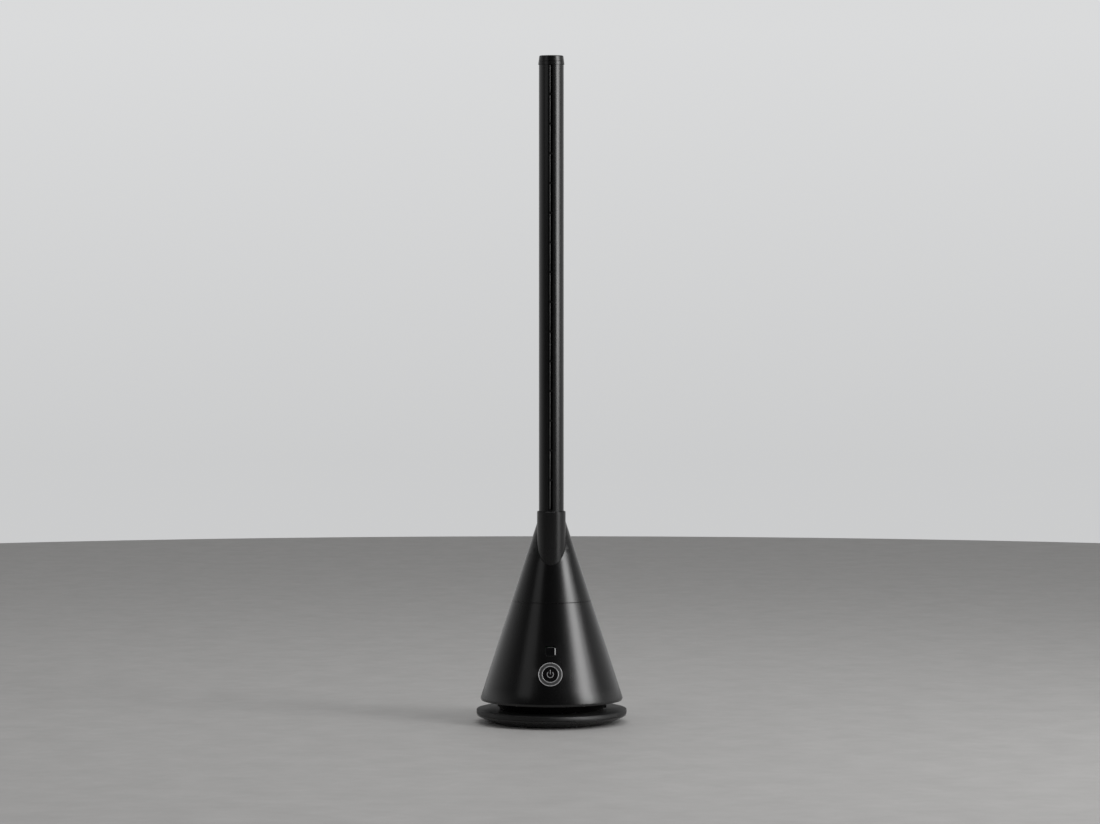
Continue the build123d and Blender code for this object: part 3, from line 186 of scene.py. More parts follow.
# %% Dust
DUST_COLOUR = (0.32, 0.31, 0.29, 1)
SPECK_SCALE = 240
SPECK_CORE, SPECK_EDGE = 0.04, 0.10
PATCH_SCALE = 22
PATCH_LOW, PATCH_HIGH = 0.52, 0.68


def dusted(tree, place, colour, amount):
    """Pale specks over a colour, which gather in patches."""
    cells = tree.nodes.new("ShaderNodeTexVoronoi")
    cells.inputs["Scale"].default_value = SPECK_SCALE
    tree.links.new(place, cells.inputs["Vector"])
    specks = ranged(tree, cells.outputs["Distance"], amount, 0, SPECK_CORE, SPECK_EDGE)
    patches = ranged(tree, noise(tree, place, PATCH_SCALE, 6), 0, 1, PATCH_LOW, PATCH_HIGH)
    mix = tree.nodes.new("ShaderNodeMix")
    mix.data_type = "RGBA"
    mix.inputs["B"].default_value = DUST_COLOUR
    tree.links.new(colour, mix.inputs["A"])
    tree.links.new(combined(tree, "MULTIPLY", specks, patches), mix.inputs["Factor"])
    return mix.outputs["Result"]


# %% The finish that every piece takes, with its own numbers
TONE_SCALE = 14
SMEAR_SCALE = (40, 40, 9)    # smears run upright
WAVE_SCALE = 30              # the slow unevenness of a moulded wall
WAVE_DEPTH = 0.01 * MM
WAVE_STRENGTH = 0.25
GRAIN_STRENGTH = 0.6


def moulded(name, dark, light, rough, grain=900, depth=0.02 * MM, dust=0.0, smear=0.06,
            metal=0.0, stretch=(1, 1, 1)):
    """A moulded, turned or cast finish: two tones, uneven gloss, fine grain and dust."""
    material, tree, shader, place = fresh(name)
    broad = ranged(tree, noise(tree, place, TONE_SCALE), 0, 1)
    colour = two_tone(tree, broad, dark, light)
    if dust > 0:
        colour = dusted(tree, place, colour, dust)
    tree.links.new(colour, shader.inputs["Base Color"])
    streaks = [wide * more for wide, more in zip(SMEAR_SCALE, stretch)]
    wiped = noise(tree, stretched(tree, place, streaks), 1, 5)
    tree.links.new(ranged(tree, wiped, rough - smear, rough + smear),
                   shader.inputs["Roughness"])
    shader.inputs["Metallic"].default_value = metal
    waves = bumped(tree, noise(tree, place, WAVE_SCALE, 2), WAVE_DEPTH, WAVE_STRENGTH)
    fine = noise(tree, stretched(tree, place, stretch), grain, 3)
    tree.links.new(bumped(tree, fine, depth, GRAIN_STRENGTH, waves),
                   shader.inputs["Normal"])
    return material


# %% [markdown]
# ## The fan's finishes
# One material stands for each slot of the record. The casings are black moulded plastic in
# two glosses, the button sits in a satin metal ring, and under the casings are the steel,
# brass, copper, nylon and board materials of the blower and the swing drive. One function
# with many settings was chosen over a material for each, because the real finishes differ
# in tone, gloss and grain, and hardly in kind.

# %% Finishes of the plastic and rubber pieces
finish = {
    "gloss_black": moulded(
        "gloss black casing", (0.0014, 0.0014, 0.0015), (0.0026, 0.0026, 0.0028),
        rough=0.26, grain=1500, depth=0.005 * MM, dust=0.2, smear=0.02),
    "satin_black": moulded(
        "satin black casing", (0.0022, 0.0022, 0.0023), (0.0042, 0.0042, 0.0044),
        rough=0.28, grain=1300, depth=0.008 * MM, dust=0.22, smear=0.025),
    "window_black": moulded(
        "dark clear window", (0.002, 0.002, 0.0022), (0.004, 0.004, 0.0044),
        rough=0.1, grain=1500, depth=0.002 * MM, dust=0.05, smear=0.03),
    "inner_plastic": moulded(
        "inner moulding", (0.012, 0.012, 0.013), (0.026, 0.026, 0.027),
        rough=0.5, depth=0.03 * MM, dust=0.25),
    "wheel_plastic": moulded(
        "glass filled nylon", (0.05, 0.05, 0.052), (0.09, 0.09, 0.092),
        rough=0.5, grain=800, depth=0.03 * MM, dust=0.1),
    "switch_plastic": moulded(
        "switch moulding", (0.02, 0.02, 0.02), (0.04, 0.04, 0.04), rough=0.45),
    "acetal": moulded(
        "natural acetal", (0.70, 0.69, 0.64), (0.80, 0.79, 0.75),
        rough=0.42, grain=700, depth=0.01 * MM, smear=0.05),
    "lead_sleeve": moulded(
        "lead sleeve", (0.02, 0.02, 0.02), (0.035, 0.035, 0.035),
        rough=0.5, grain=600, depth=0.03 * MM, dust=0.2),
    "rubber": moulded(
        "foot rubber", (0.016, 0.016, 0.016), (0.034, 0.033, 0.032),
        rough=0.78, grain=1100, depth=0.04 * MM, dust=0.5, smear=0.08),
    "board_green": moulded(
        "solder mask", (0.02, 0.10, 0.04), (0.04, 0.17, 0.07),
        rough=0.3, grain=400, depth=0.03 * MM),
}
print("plastic and rubber finishes:", len(finish))

# %% Finishes of the metal pieces
finish.update({
    "ring_metal": moulded(
        "satin metal ring", (0.16, 0.16, 0.163), (0.20, 0.20, 0.203),
        rough=0.42, grain=1600, depth=0.01 * MM, smear=0.04, metal=1.0),
    "steel": moulded(
        "machined steel", (0.42, 0.42, 0.43), (0.58, 0.58, 0.59),
        rough=0.3, grain=700, depth=0.01 * MM, smear=0.07, metal=1.0, stretch=(1, 1, 8)),
    "screw_steel": moulded(
        "zinc plated screw", (0.40, 0.40, 0.39), (0.55, 0.54, 0.50),
        rough=0.36, depth=0.01 * MM, dust=0.1, smear=0.08, metal=1.0),
    "motor_can": moulded(
        "drawn motor can", (0.38, 0.38, 0.38), (0.52, 0.52, 0.51),
        rough=0.34, grain=500, depth=0.01 * MM, smear=0.08, metal=1.0, stretch=(1, 1, 6)),
    "brass": moulded(
        "turned brass", (0.62, 0.44, 0.16), (0.74, 0.56, 0.24),
        rough=0.28, depth=0.01 * MM, metal=1.0),
    "copper": moulded(
        "enamelled winding", (0.50, 0.20, 0.08), (0.68, 0.32, 0.14),
        rough=0.33, grain=1200, depth=0.06 * MM, smear=0.05, metal=0.9,
        stretch=(1, 1, 12)),
    "magnet": moulded(
        "sintered magnet", (0.06, 0.06, 0.062), (0.12, 0.12, 0.12),
        rough=0.55, grain=1500, depth=0.04 * MM, smear=0.08, metal=0.6),
})
print("finishes in all:", len(finish))

# %% Give every CAD node the finish of its slot
slot_of = {row["node"]: row["material_slot"] for row in frame["record"]["subparts"]}
for name, node in nodes.items():
    node.data.materials.clear()
    node.data.materials.append(finish[slot_of[name]])
print("finished CAD nodes:", len(slot_of))

# %% [markdown]
# ## Making a piece by hand
# Blender's operators work on whatever is selected, and all the imported nodes are still
# selected after loading, so each step first selects just what it works on. In edit mode,
# faces and edges are selected by a test on their place. A finished piece has its place in
# its mesh and its object at the origin, rides on a body of the frame, and takes the finish
# of a slot of the record, or a finish of its own.

# %% Selecting


def select_none():
    """Select nothing, before a primitive is added."""
    bpy.ops.object.select_all(action="DESELECT")


def only(piece):
    """Select one object and nothing else."""
    if bpy.context.object and bpy.context.object.mode != "OBJECT":
        out_of_edit()
    select_none()
    piece.select_set(True)
    bpy.context.view_layer.objects.active = piece


def edit_all():
    """Enter edit mode with everything selected."""
    bpy.ops.object.mode_set(mode="EDIT")
    bpy.ops.mesh.select_all(action="SELECT")


def out_of_edit():
    """Go back to object mode."""
    bpy.ops.object.mode_set(mode="OBJECT")


def pick(piece, test, kind="FACE"):
    """Enter edit mode with just the faces or the edges selected that pass a test."""
    only(piece)
    mesh = piece.data
    for group in (mesh.vertices, mesh.edges, mesh.polygons):
        for item in group:
            item.select = False
    if kind == "FACE":
        for face in mesh.polygons:
            face.select = test(face.center, face.normal)
    else:
        for edge in mesh.edges:
            edge.select = test(*[mesh.vertices[index].co for index in edge.vertices])
    bpy.ops.object.mode_set(mode="EDIT")
    bpy.ops.mesh.select_mode(type=kind)


# %% Rounding edges, copying, and settling a finished piece


def soften(piece, width, sides=2, angle=30):
    """Round every edge sharper than an angle by a small bevel."""
    only(piece)
    bevel = piece.modifiers.new("edge rounding", "BEVEL")
    bevel.limit_method = "ANGLE"
    bevel.angle_limit = radians(angle)
    bevel.width = width
    bevel.segments = sides
    bevel.use_clamp_overlap = True
    bevel.miter_outer = "MITER_ARC"
    bpy.ops.object.modifier_apply(modifier=bevel.name)


def copied(name, model):
    """A copy of an object, with a mesh of its own."""
    copy = bpy.data.objects.new(name, model.data.copy())
    bpy.context.scene.collection.objects.link(copy)
    return copy


def settle(piece, body, slot, replaced=(), smooth=35, turn_out=False, own_finish=None):
    """Put the place in the mesh, shade it, and let it ride on its body."""
    only(piece)
    bpy.ops.object.transform_apply(location=True, rotation=True, scale=True)
    if turn_out:
        edit_all()
        bpy.ops.mesh.normals_make_consistent(inside=False)
        out_of_edit()
    bpy.ops.object.shade_smooth_by_angle(angle=radians(smooth))
    piece.data.materials.clear()
    piece.data.materials.append(own_finish or finish[slot])
    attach(piece, body)
    if replaced:
        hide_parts(*replaced)
    print("made", piece.name, len(piece.data.polygons), "faces, on", body)
    return piece


# %% [markdown]
# ## Casings with moulded edges
# The CAD solids have the right shape, but a moulded casing never has a knife edge: its tool
# leaves a small radius that catches a thin line of light, and that line is most of what the
# eye reads on a black object. The radius could be cut in the CAD, but there it would make
# heavy files for something that only the eye needs. So each casing that shows is copied,
# its loose triangles are merged, the triangles that lie flat together are joined, and a
# bevel of a few tenths of a millimetre runs along its sharp edges. The copy then stands for
# the CAD node.
#
# Where the two halves of the cone meet, the real fan shows a thin dark line. It is drawn by
# rounding the lower edge of the upper half a little more than the rest.

# %% Sizes of the moulded edges
MERGE_REACH = 0.002 * MM
FLAT_ANGLE = radians(0.03)
CASING_ANGLE = 30
SEAM_BEVEL = 0.9 * MM
SEAM_SLACK = 0.05 * MM
NORMAL_REACH = 0.01 * MM
EDGE_WIDTHS = {
    "base_disc": 0.3 * MM, "base_cover": 0.3 * MM, "lower_shell": 0.45 * MM,
    "upper_shell": 0.6 * MM, "collar": 0.3 * MM, "tube_shell": 0.4 * MM,
    "cap_ring": 0.25 * MM, "cap_lid": 0.25 * MM, "button_ring": 0.25 * MM,
    "button_cap": 0.25 * MM, "intake_grille": 0.2 * MM, "nozzle_strip": 0.2 * MM,
    "power_inlet": 0.2 * MM}
print("casings with rounded edges:", len(EDGE_WIDTHS))

# %% The seam's edge, and the solid's own normals


def round_seam(copy, width):
    """Bevel the lowest outer ring of edges of a casing."""
    lowest = min(corner.co.z for corner in copy.data.vertices)
    widest = max(hypot(corner.co.x, corner.co.y) for corner in copy.data.vertices)

    def on_ring(*ends):
        """Whether an edge runs along the lowest and widest ring."""
        return all(end.z < lowest + SEAM_SLACK
                   and hypot(end.x, end.y) > widest - SEAM_SLACK for end in ends)

    pick(copy, on_ring, "EDGE")
    bpy.ops.mesh.bevel(offset=width, segments=3, affect="EDGES")
    out_of_edit()


def take_normals(copy, source):
    """Take the solid's smooth normals wherever the copy still lies on the solid.

    The cone then shades evenly. Only the bevels stand off the solid, and keep their own.
    """
    carry = copy.modifiers.new("normals of the solid", "DATA_TRANSFER")
    carry.object = source
    carry.use_loop_data = True
    carry.data_types_loops = {"CUSTOM_NORMAL"}
    carry.loop_mapping = "POLYINTERP_NEAREST"
    carry.use_max_distance = True
    carry.max_distance = NORMAL_REACH
    bpy.ops.object.modifier_apply(modifier=carry.name)


# %% Copy each casing and round its edges


def casing(node, width, seam=0):
    """A copy of a CAD node, merged, with softly rounded edges, standing for the node."""
    source = nodes[node]
    copy = copied(node + "_moulded", source)
    only(copy)
    bpy.ops.mesh.customdata_custom_splitnormals_clear()
    edit_all()
    bpy.ops.mesh.remove_doubles(threshold=MERGE_REACH)
    bpy.ops.mesh.dissolve_limited(angle_limit=FLAT_ANGLE)
    out_of_edit()
    if seam > 0:
        round_seam(copy, seam)
    soften(copy, width, angle=CASING_ANGLE)
    settle(copy, source["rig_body"], slot_of[node], [node], CASING_ANGLE)
    take_normals(copy, source)
    return copy


casings = {node: casing(node, width, SEAM_BEVEL if node == "upper_shell" else 0)
           for node, width in EDGE_WIDTHS.items()}

# %% [markdown]
# ## Matt finish of the base disc
# The top of the base disc is calmer than the cone: on the real fan it has a finer matt, and
# hardly mirrors the room. It takes a rougher finish of its own.

# %% The disc's own finish
finish_disc = moulded(
    "matt base disc", (0.0014, 0.0014, 0.0015), (0.0026, 0.0026, 0.0028),
    rough=0.5, grain=1500, depth=0.004 * MM, dust=0.15, smear=0.04)
casings["base_disc"].data.materials[0] = finish_disc
print(casings["base_disc"].name, "takes", finish_disc.name)

# %% [markdown]
# ## Power mark on the button
# A press-to-start button usually carries the generic sign for standby: a ring that is open
# at the top, with a bar in the opening. It is printed in pale grey ink. A picture of it
# would blur from close by, so it is modelled as a skin a tenth of a millimetre high. The
# ring starts as a torus and is pressed flat, the faces in its top wedge are deleted, and
# its two open ends are filled.

# %% Ink for the mark, and where the button's face lies
MARK_RADIUS = 4.8 * MM
MARK_WIDTH = 0.85 * MM
MARK_RISE = 0.1 * MM
MARK_HALF_GAP = radians(38)
BAR_LENGTH = 7.0 * MM
BAR_MIDDLE = 3.7 * MM
BAR_ROUNDING = 0.08 * MM
finish_ink = moulded(
    "pale grey ink", (0.24, 0.24, 0.243), (0.31, 0.31, 0.314),
    rough=0.5, grain=1200, depth=0.006 * MM, smear=0.04)


def face_height(node):
    """How far a node stands out from the cone's slanted line at the button."""
    return max((corner.co - button_middle).dot(face_out)
               for corner in nodes[node].data.vertices)


mark_middle = button_middle + face_out * face_height("button_cap")
print("button face stands out, mm:", round(face_height("button_cap") / MM, 3))

# %% The open ring


def named(name):
    """Name the object that an operator has just added."""
    piece = bpy.context.object
    piece.name = name
    piece.data.name = name
    return piece


def pressed(piece, across, deep, high):
    """Press a mesh about its own middle."""
    only(piece)
    edit_all()
    bpy.ops.transform.resize(value=(across, deep, high))
    out_of_edit()


select_none()
bpy.ops.mesh.primitive_torus_add(major_radius=MARK_RADIUS, minor_radius=MARK_WIDTH / 2,
                                 major_segments=64, minor_segments=12)
mark_ring = named("power_mark_ring")
pressed(mark_ring, 1, 1, 2 * MARK_RISE / MARK_WIDTH)
pick(mark_ring, lambda middle, normal: abs(atan2(middle.x, middle.y)) < MARK_HALF_GAP)
bpy.ops.mesh.delete(type="FACE")
bpy.ops.mesh.select_all(action="SELECT")
bpy.ops.mesh.fill_holes(sides=16)
out_of_edit()
mark_ring.rotation_euler = FACE_TURN
mark_ring.location = mark_middle
settle(mark_ring, "button", "ring_metal", own_finish=finish_ink)

# %% The bar in its opening
select_none()
bpy.ops.mesh.primitive_cube_add(size=1, location=mark_middle + face_up * BAR_MIDDLE,
                                rotation=FACE_TURN)
mark_bar = named("power_mark_bar")
mark_bar.scale = (MARK_WIDTH, BAR_LENGTH, 2 * MARK_RISE)
bpy.ops.object.transform_apply(location=False, rotation=False, scale=True)
soften(mark_bar, BAR_ROUNDING, sides=3)
settle(mark_bar, "button", "ring_metal", own_finish=finish_ink)

# %% [markdown]
# ## Bright edges of the button's ring
# The ring is turned from metal and its two rims are polished. Their pale, partly metal
# colour is a painted highlight, which makes them shine brighter than its satin face under
# any lamp.
# The rims could be faces of the ring with a second material, but they are round and stand
# proud. So a slim torus is laid along each rim and pressed a little flat, which gives a
# rounded polished edge at any angle.

# %% Two polished rims
RIM_SHARE_HIGH = 0.6
RIM_SUNK = 0.12 * MM
# Pale, partly metal colour of the rims: a painted highlight on top of their real polish.
rim_finish_painted_highlight = moulded(
    "ring edge with painted highlight", (0.42, 0.42, 0.425), (0.50, 0.50, 0.505),
    rough=0.3, grain=1500, depth=0.004 * MM, smear=0.03, metal=0.35)
rim_middle = button_middle + face_out * (face_height("button_ring") - RIM_SUNK)
for name, radius, thick in [("ring_rim_outer", 17.55 * MM, 0.55 * MM),
                            ("ring_rim_inner", 12.3 * MM, 0.5 * MM)]:
    select_none()
    bpy.ops.mesh.primitive_torus_add(major_radius=radius, minor_radius=thick,
                                     major_segments=96, minor_segments=12)
    rim = named(name)
    pressed(rim, 1, 1, RIM_SHARE_HIGH)
    rim.rotation_euler = FACE_TURN
    rim.location = rim_middle
    settle(rim, "tower", "ring_metal", own_finish=rim_finish_painted_highlight)

# %% [markdown]
# ## Rounded bead of the slot's inner lip
# Down the slot runs a slim inner lip with a rounded nose, and on the real fan it reads as
# one fine light line, broken where the ribs cross. The bead is a lighter grey than the
# black casing, and the line it draws is a painted highlight. One long bead would run through
# the ribs, so each opening gets its own: a narrow cylinder as long as the opening, pressed
# to an oval, and copied up the slot.

# %% Sizes of the bead, and its finish
SLOT_LOW = 327 * MM
CAP_LOW = 1006 * MM
RIB_COUNT = 14
RIB_ROOM = 1.3 * 2.6 * MM    # a rib is 2.6 mm high, and the bead stops clear of it
BEAD_HALF = 0.72 * MM
BEAD_OVAL = 0.75
BEAD_ROUNDING = 0.3 * MM
BEAD_SIDE = -1.65 * MM
BEAD_BACK = 0.75 * MM
slot_pitch = (CAP_LOW - SLOT_LOW) / (RIB_COUNT + 1)
# The bead's grey, lighter than the black lip, is a painted highlight for the lip's light
# line.
bead_finish_painted_highlight = moulded(
    "inner lip bead with painted highlight", (0.030, 0.030, 0.030), (0.040, 0.040, 0.040),
    rough=0.35, grain=1300, depth=0.004 * MM, smear=0.04)
print("openings of the slot:", RIB_COUNT + 1, "pitch, mm:", round(slot_pitch / MM, 2))

# %% One bead, then one for each opening between the ribs
select_none()
bpy.ops.mesh.primitive_cylinder_add(vertices=20, radius=BEAD_HALF,
                                    depth=slot_pitch - RIB_ROOM)
bead = named("slot_bead")
pressed(bead, 1, BEAD_OVAL, 1)
soften(bead, BEAD_ROUNDING, angle=60)
for number in range(RIB_COUNT + 1):
    copy = copied(f"slot_bead_{number + 1}", bead)
    copy.location = (BEAD_SIDE, -TUBE_FORWARD - TUBE_RADIUS + BEAD_BACK,
                     SLOT_LOW + (number + 0.5) * slot_pitch)
    settle(copy, "tower", "gloss_black", smooth=60, own_finish=bead_finish_painted_highlight)
bpy.data.objects.remove(bead)

# %% [markdown]
# ## Display window with sloped edges
# The window is a dark clear block that snaps in from behind. Its front edge is cut to a
# slope all round, and the right-hand slope mirrors the lamp as a bright upright line. A
# bevelled cube would round all its edges alike, so the block is built from its face: a
# plane gets rounded corners and is inset, and the inset face is raised, which leaves the
# slope. The rim is then extruded back, and a flange is grown from the back face.

# %% Sizes of the window, and its middle on the slanted front
WINDOW_WIDE = 16 * MM
WINDOW_TALL = 15.5 * MM
WINDOW_CORNER = 4 * MM
WINDOW_SLOPE = 1.5 * MM
WINDOW_DROP = 0.83 * MM
WINDOW_PROUD = 0.1 * MM
WINDOW_DEPTH = 3.1 * MM
WINDOW_FLANGE = 1.6 * MM
BACK_SLACK = 0.1 * MM
low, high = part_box("display_window")
window_middle = button_middle + face_up * ((low.z + high.z) / 2 - BUTTON_HEIGHT) / cos(TILT)
print("window middle:", [round(value, 4) for value in window_middle])

# %% Rounded plate with a sloped rim
select_none()
bpy.ops.mesh.primitive_plane_add(size=1)
window = named("display_window_lens")
window.scale = (WINDOW_WIDE, WINDOW_TALL, 1)
bpy.ops.object.transform_apply(location=False, rotation=False, scale=True)
edit_all()
bpy.ops.mesh.bevel(offset=WINDOW_CORNER, segments=8, affect="VERTICES")
bpy.ops.mesh.select_mode(type="FACE")
bpy.ops.mesh.select_all(action="SELECT")
bpy.ops.mesh.inset(thickness=WINDOW_SLOPE, use_boundary=True)
bpy.ops.transform.translate(value=(0, 0, WINDOW_DROP))
print("window's face raised over its rim, mm:", WINDOW_DROP / MM)

# %% Block and flange
bpy.ops.mesh.select_all(action="DESELECT")
bpy.ops.mesh.select_mode(type="EDGE")
bpy.ops.mesh.select_non_manifold(extend=False, use_wire=False, use_multi_face=False,
                                 use_non_contiguous=False, use_verts=False)
bpy.ops.mesh.extrude_region_move(
    TRANSFORM_OT_translate={"value": (0, 0, WINDOW_DROP - WINDOW_DEPTH)})
bpy.ops.mesh.edge_face_add()
bpy.ops.mesh.select_mode(type="FACE")
bpy.ops.mesh.inset(thickness=WINDOW_FLANGE, use_outset=True)
out_of_edit()
back = min(corner.co.z for corner in window.data.vertices)
pick(window, lambda middle, normal: middle.z < back + BACK_SLACK and abs(normal.z) > 0.9)
bpy.ops.mesh.extrude_region_move(
    TRANSFORM_OT_translate={"value": (0, 0, -WINDOW_FLANGE / 2)})
out_of_edit()
window.rotation_euler = FACE_TURN
window.location = window_middle + face_out * (WINDOW_PROUD - WINDOW_DROP)
settle(window, "tower", "window_black", ["display_window"], 20, turn_out=True)

# %% [markdown]
# ## Screws of the underside
# Turned over, the fan shows twelve screws: six hold the base together and six hold the
# bottom casing on its spokes. Each has a pan head with a cross recess. One of each size is
# modelled, head down: a cylinder gets a rounded lower rim, its upper face is inset and
# extruded into the shank, and a cross of two bars is cut out of the head. The rest are
# copies, each with its own mesh.

# %% One screw, head down, with its seat at the origin
HEAD_ROUNDING = 0.3      # share of the head's height
RECESS_LENGTH = 1.2      # shares of the head's radius
RECESS_WIDTH = 0.28


def cross_screw(name, head_radius, head_height, shank_radius, shank_length):
    """A pan head screw with a cross recess, its head below the origin."""
    select_none()
    bpy.ops.mesh.primitive_cylinder_add(vertices=32, radius=head_radius, depth=head_height,
                                        location=(0, 0, -head_height / 2))
    head = named(name)
    bpy.ops.object.transform_apply(location=True, rotation=False, scale=False)
    pick(head, lambda middle, normal: normal.z < -0.9)
    bpy.ops.mesh.bevel(offset=HEAD_ROUNDING * head_height, segments=3, affect="EDGES")
    out_of_edit()
    pick(head, lambda middle, normal: normal.z > 0.9)
    bpy.ops.mesh.inset(thickness=head_radius - shank_radius)
    bpy.ops.mesh.extrude_region_move(TRANSFORM_OT_translate={"value": (0, 0, shank_length)})
    out_of_edit()
    for turn in (0, pi / 2):
        select_none()
        bpy.ops.mesh.primitive_cube_add(size=1, location=(0, 0, -head_height),
                                        rotation=(0, 0, turn))
        bar = named("recess")
        bar.scale = (RECESS_LENGTH * head_radius, RECESS_WIDTH * head_radius, head_height)
        bpy.ops.object.transform_apply(location=True, rotation=True, scale=True)
        only(head)
        cut = head.modifiers.new("cross", "BOOLEAN")
        cut.operation = "DIFFERENCE"
        cut.solver = "EXACT"
        cut.object = bar
        bpy.ops.object.modifier_apply(modifier=cut.name)
        bpy.data.objects.remove(bar)
    return head


# %% Copies in a ring


def ring_of(model, count, radius, height, first, body, slot, node):
    """Copies of a model round the upright axis, which together stand for a CAD node."""
    for number in range(count):
        turn = first + 2 * pi * number / count
        copy = copied(f"{model.name}_{number + 1}", model)
        copy.rotation_euler = (0, 0, turn)
        copy.location = (radius * cos(turn), radius * sin(turn), height)
        settle(copy, body, slot, [node] if number == 0 else [])
    bpy.data.objects.remove(model)


# %% Twelve screws
RING_COUNT = 6
SHANK_RADIUS = 1.5 * MM
BASE_HEAD_RADIUS, BASE_HEAD_HIGH, BASE_RING = 3.2 * MM, 1.6 * MM, 80 * MM
SHELL_HEAD_RADIUS, SHELL_HEAD_HIGH, SHELL_RING = 2.9 * MM, 1.5 * MM, 100.2 * MM
low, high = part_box("base_screws")
screw = cross_screw("base_screw", BASE_HEAD_RADIUS, BASE_HEAD_HIGH, SHANK_RADIUS,
                    high.z - low.z - BASE_HEAD_HIGH)
ring_of(screw, RING_COUNT, BASE_RING, low.z + BASE_HEAD_HIGH, 0,
        "base", "screw_steel", "base_screws")
low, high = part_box("shell_screws")
screw = cross_screw("shell_screw", SHELL_HEAD_RADIUS, SHELL_HEAD_HIGH, SHANK_RADIUS,
                    high.z - low.z - SHELL_HEAD_HIGH)
ring_of(screw, RING_COUNT, SHELL_RING, low.z + SHELL_HEAD_HIGH, 0,
        "tower", "screw_steel", "shell_screws")

# %% [markdown]
# ## Rubber feet
# Each foot is a soft disc with a moulded ring groove on its sole, which keeps it from
# sliding. The groove could be cut with a boolean, but insets keep the faces clean: a
# cylinder gets a rounded lower rim, two insets on the sole mark out a ring, and the ring is
# pushed in.

# %% Sizes of a foot and its groove
FOOT_RADIUS = 8 * MM
FOOT_ROUNDING = 0.5 * MM
FOOT_RING = 78 * MM
SOLE_RIM = 1.6 * MM
GROOVE_WIDE = 1.4 * MM
GROOVE_DEEP = 0.5 * MM
GROOVE_SLACK = 0.1 * MM
groove_outer = FOOT_RADIUS - FOOT_ROUNDING - SOLE_RIM
groove_inner = groove_outer - GROOVE_WIDE
print("groove of the sole, mm:", round(groove_inner / MM, 2), round(groove_outer / MM, 2))

# %% One foot, then six
low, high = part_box("base_feet")
select_none()
bpy.ops.mesh.primitive_cylinder_add(vertices=64, radius=FOOT_RADIUS, depth=high.z - low.z,
                                    location=(0, 0, (high.z - low.z) / 2))
foot = named("rubber_foot")
bpy.ops.object.transform_apply(location=True, rotation=False, scale=False)
pick(foot, lambda middle, normal: normal.z < -0.9)
bpy.ops.mesh.bevel(offset=FOOT_ROUNDING, segments=4, affect="EDGES")
out_of_edit()
pick(foot, lambda middle, normal: normal.z < -0.99)
bpy.ops.mesh.inset(thickness=SOLE_RIM)
bpy.ops.mesh.inset(thickness=GROOVE_WIDE)
out_of_edit()


def in_groove(middle, normal):
    """The ring of faces on the sole between the two insets."""
    away = hypot(middle.x, middle.y)
    return (normal.z < -0.99
            and groove_inner - GROOVE_SLACK < away < groove_outer + GROOVE_SLACK)


pick(foot, in_groove)
bpy.ops.mesh.extrude_region_move(TRANSFORM_OT_translate={"value": (0, 0, GROOVE_DEEP)})
out_of_edit()
ring_of(foot, RING_COUNT, FOOT_RING, low.z, pi / 6, "base", "rubber", "base_feet")

# %% [markdown]
# ## Floor
# The fan stands on a plain pale floor. It is a large disc, lit and shaded like any other
# surface, so that it takes the fan's soft shadow. Its back is clear, so that the underside
# of the fan can be looked at from below, and it lies a tenth of a millimetre under the feet.

# %% A pale disc that is clear from below
FLOOR_REACH = 4.03
FLOOR_DROP = 0.1 * MM


def either_shader(tree, factor, first, second):
    """The first shader where a factor is 0, and the second where it is 1."""
    node = tree.nodes.new("ShaderNodeMixShader")
    tree.links.new(factor, node.inputs["Fac"])
    tree.links.new(first, node.inputs[1])
    tree.links.new(second, node.inputs[2])
    return node.outputs["Shader"]


select_none()
bpy.ops.mesh.primitive_circle_add(vertices=128, radius=FLOOR_REACH, fill_type="NGON",
                                  location=(0, 0, -FLOOR_DROP))
floor = named("studio_floor")
floor_finish = moulded(
    "pale floor", (0.325, 0.32, 0.315), (0.355, 0.35, 0.345),
    rough=0.6, grain=300, depth=0.05 * MM, smear=0.05)
tree = floor_finish.node_tree
shown = tree.nodes["Material Output"].inputs["Surface"]
solid = shown.links[0].from_socket
clear = tree.nodes.new("ShaderNodeBsdfTransparent").outputs["BSDF"]
from_below = tree.nodes.new("ShaderNodeNewGeometry").outputs["Backfacing"]
tree.links.new(either_shader(tree, from_below, solid, clear), shown)
floor.data.materials.append(floor_finish)
print("floor reaches, m:", FLOOR_REACH)

# %% [markdown]
# ## Wall and room
# There is no backdrop to model: the wall is the world itself, seen as pale grey from any
# side. A black gloss shows what it mirrors, so the world has three tones. The camera sees
# the pale wall, the gloss sees that wall behind the fan and a dim room before it, and plain
# surfaces are lit by one even grey.

# %% Tones of the wall, the room and the even light
WALL_LOW, WALL_HIGH = (0.60, 0.605, 0.61), (0.70, 0.705, 0.71)
WALL_FADE_LOW, WALL_FADE_HIGH = -0.05, 0.06
ROOM_DIM, ROOM_PALE = (0.012, 0.012, 0.012), (0.6, 0.6, 0.6)
BEHIND_LOW, BEHIND_HIGH = -0.6, 0.25
UP_LOW, UP_HIGH = 0.12, 0.45
UP_SHARE = 0.12
FILL_GREY = (0.60, 0.60, 0.60, 1)
print("wall from", WALL_LOW, "to", WALL_HIGH)

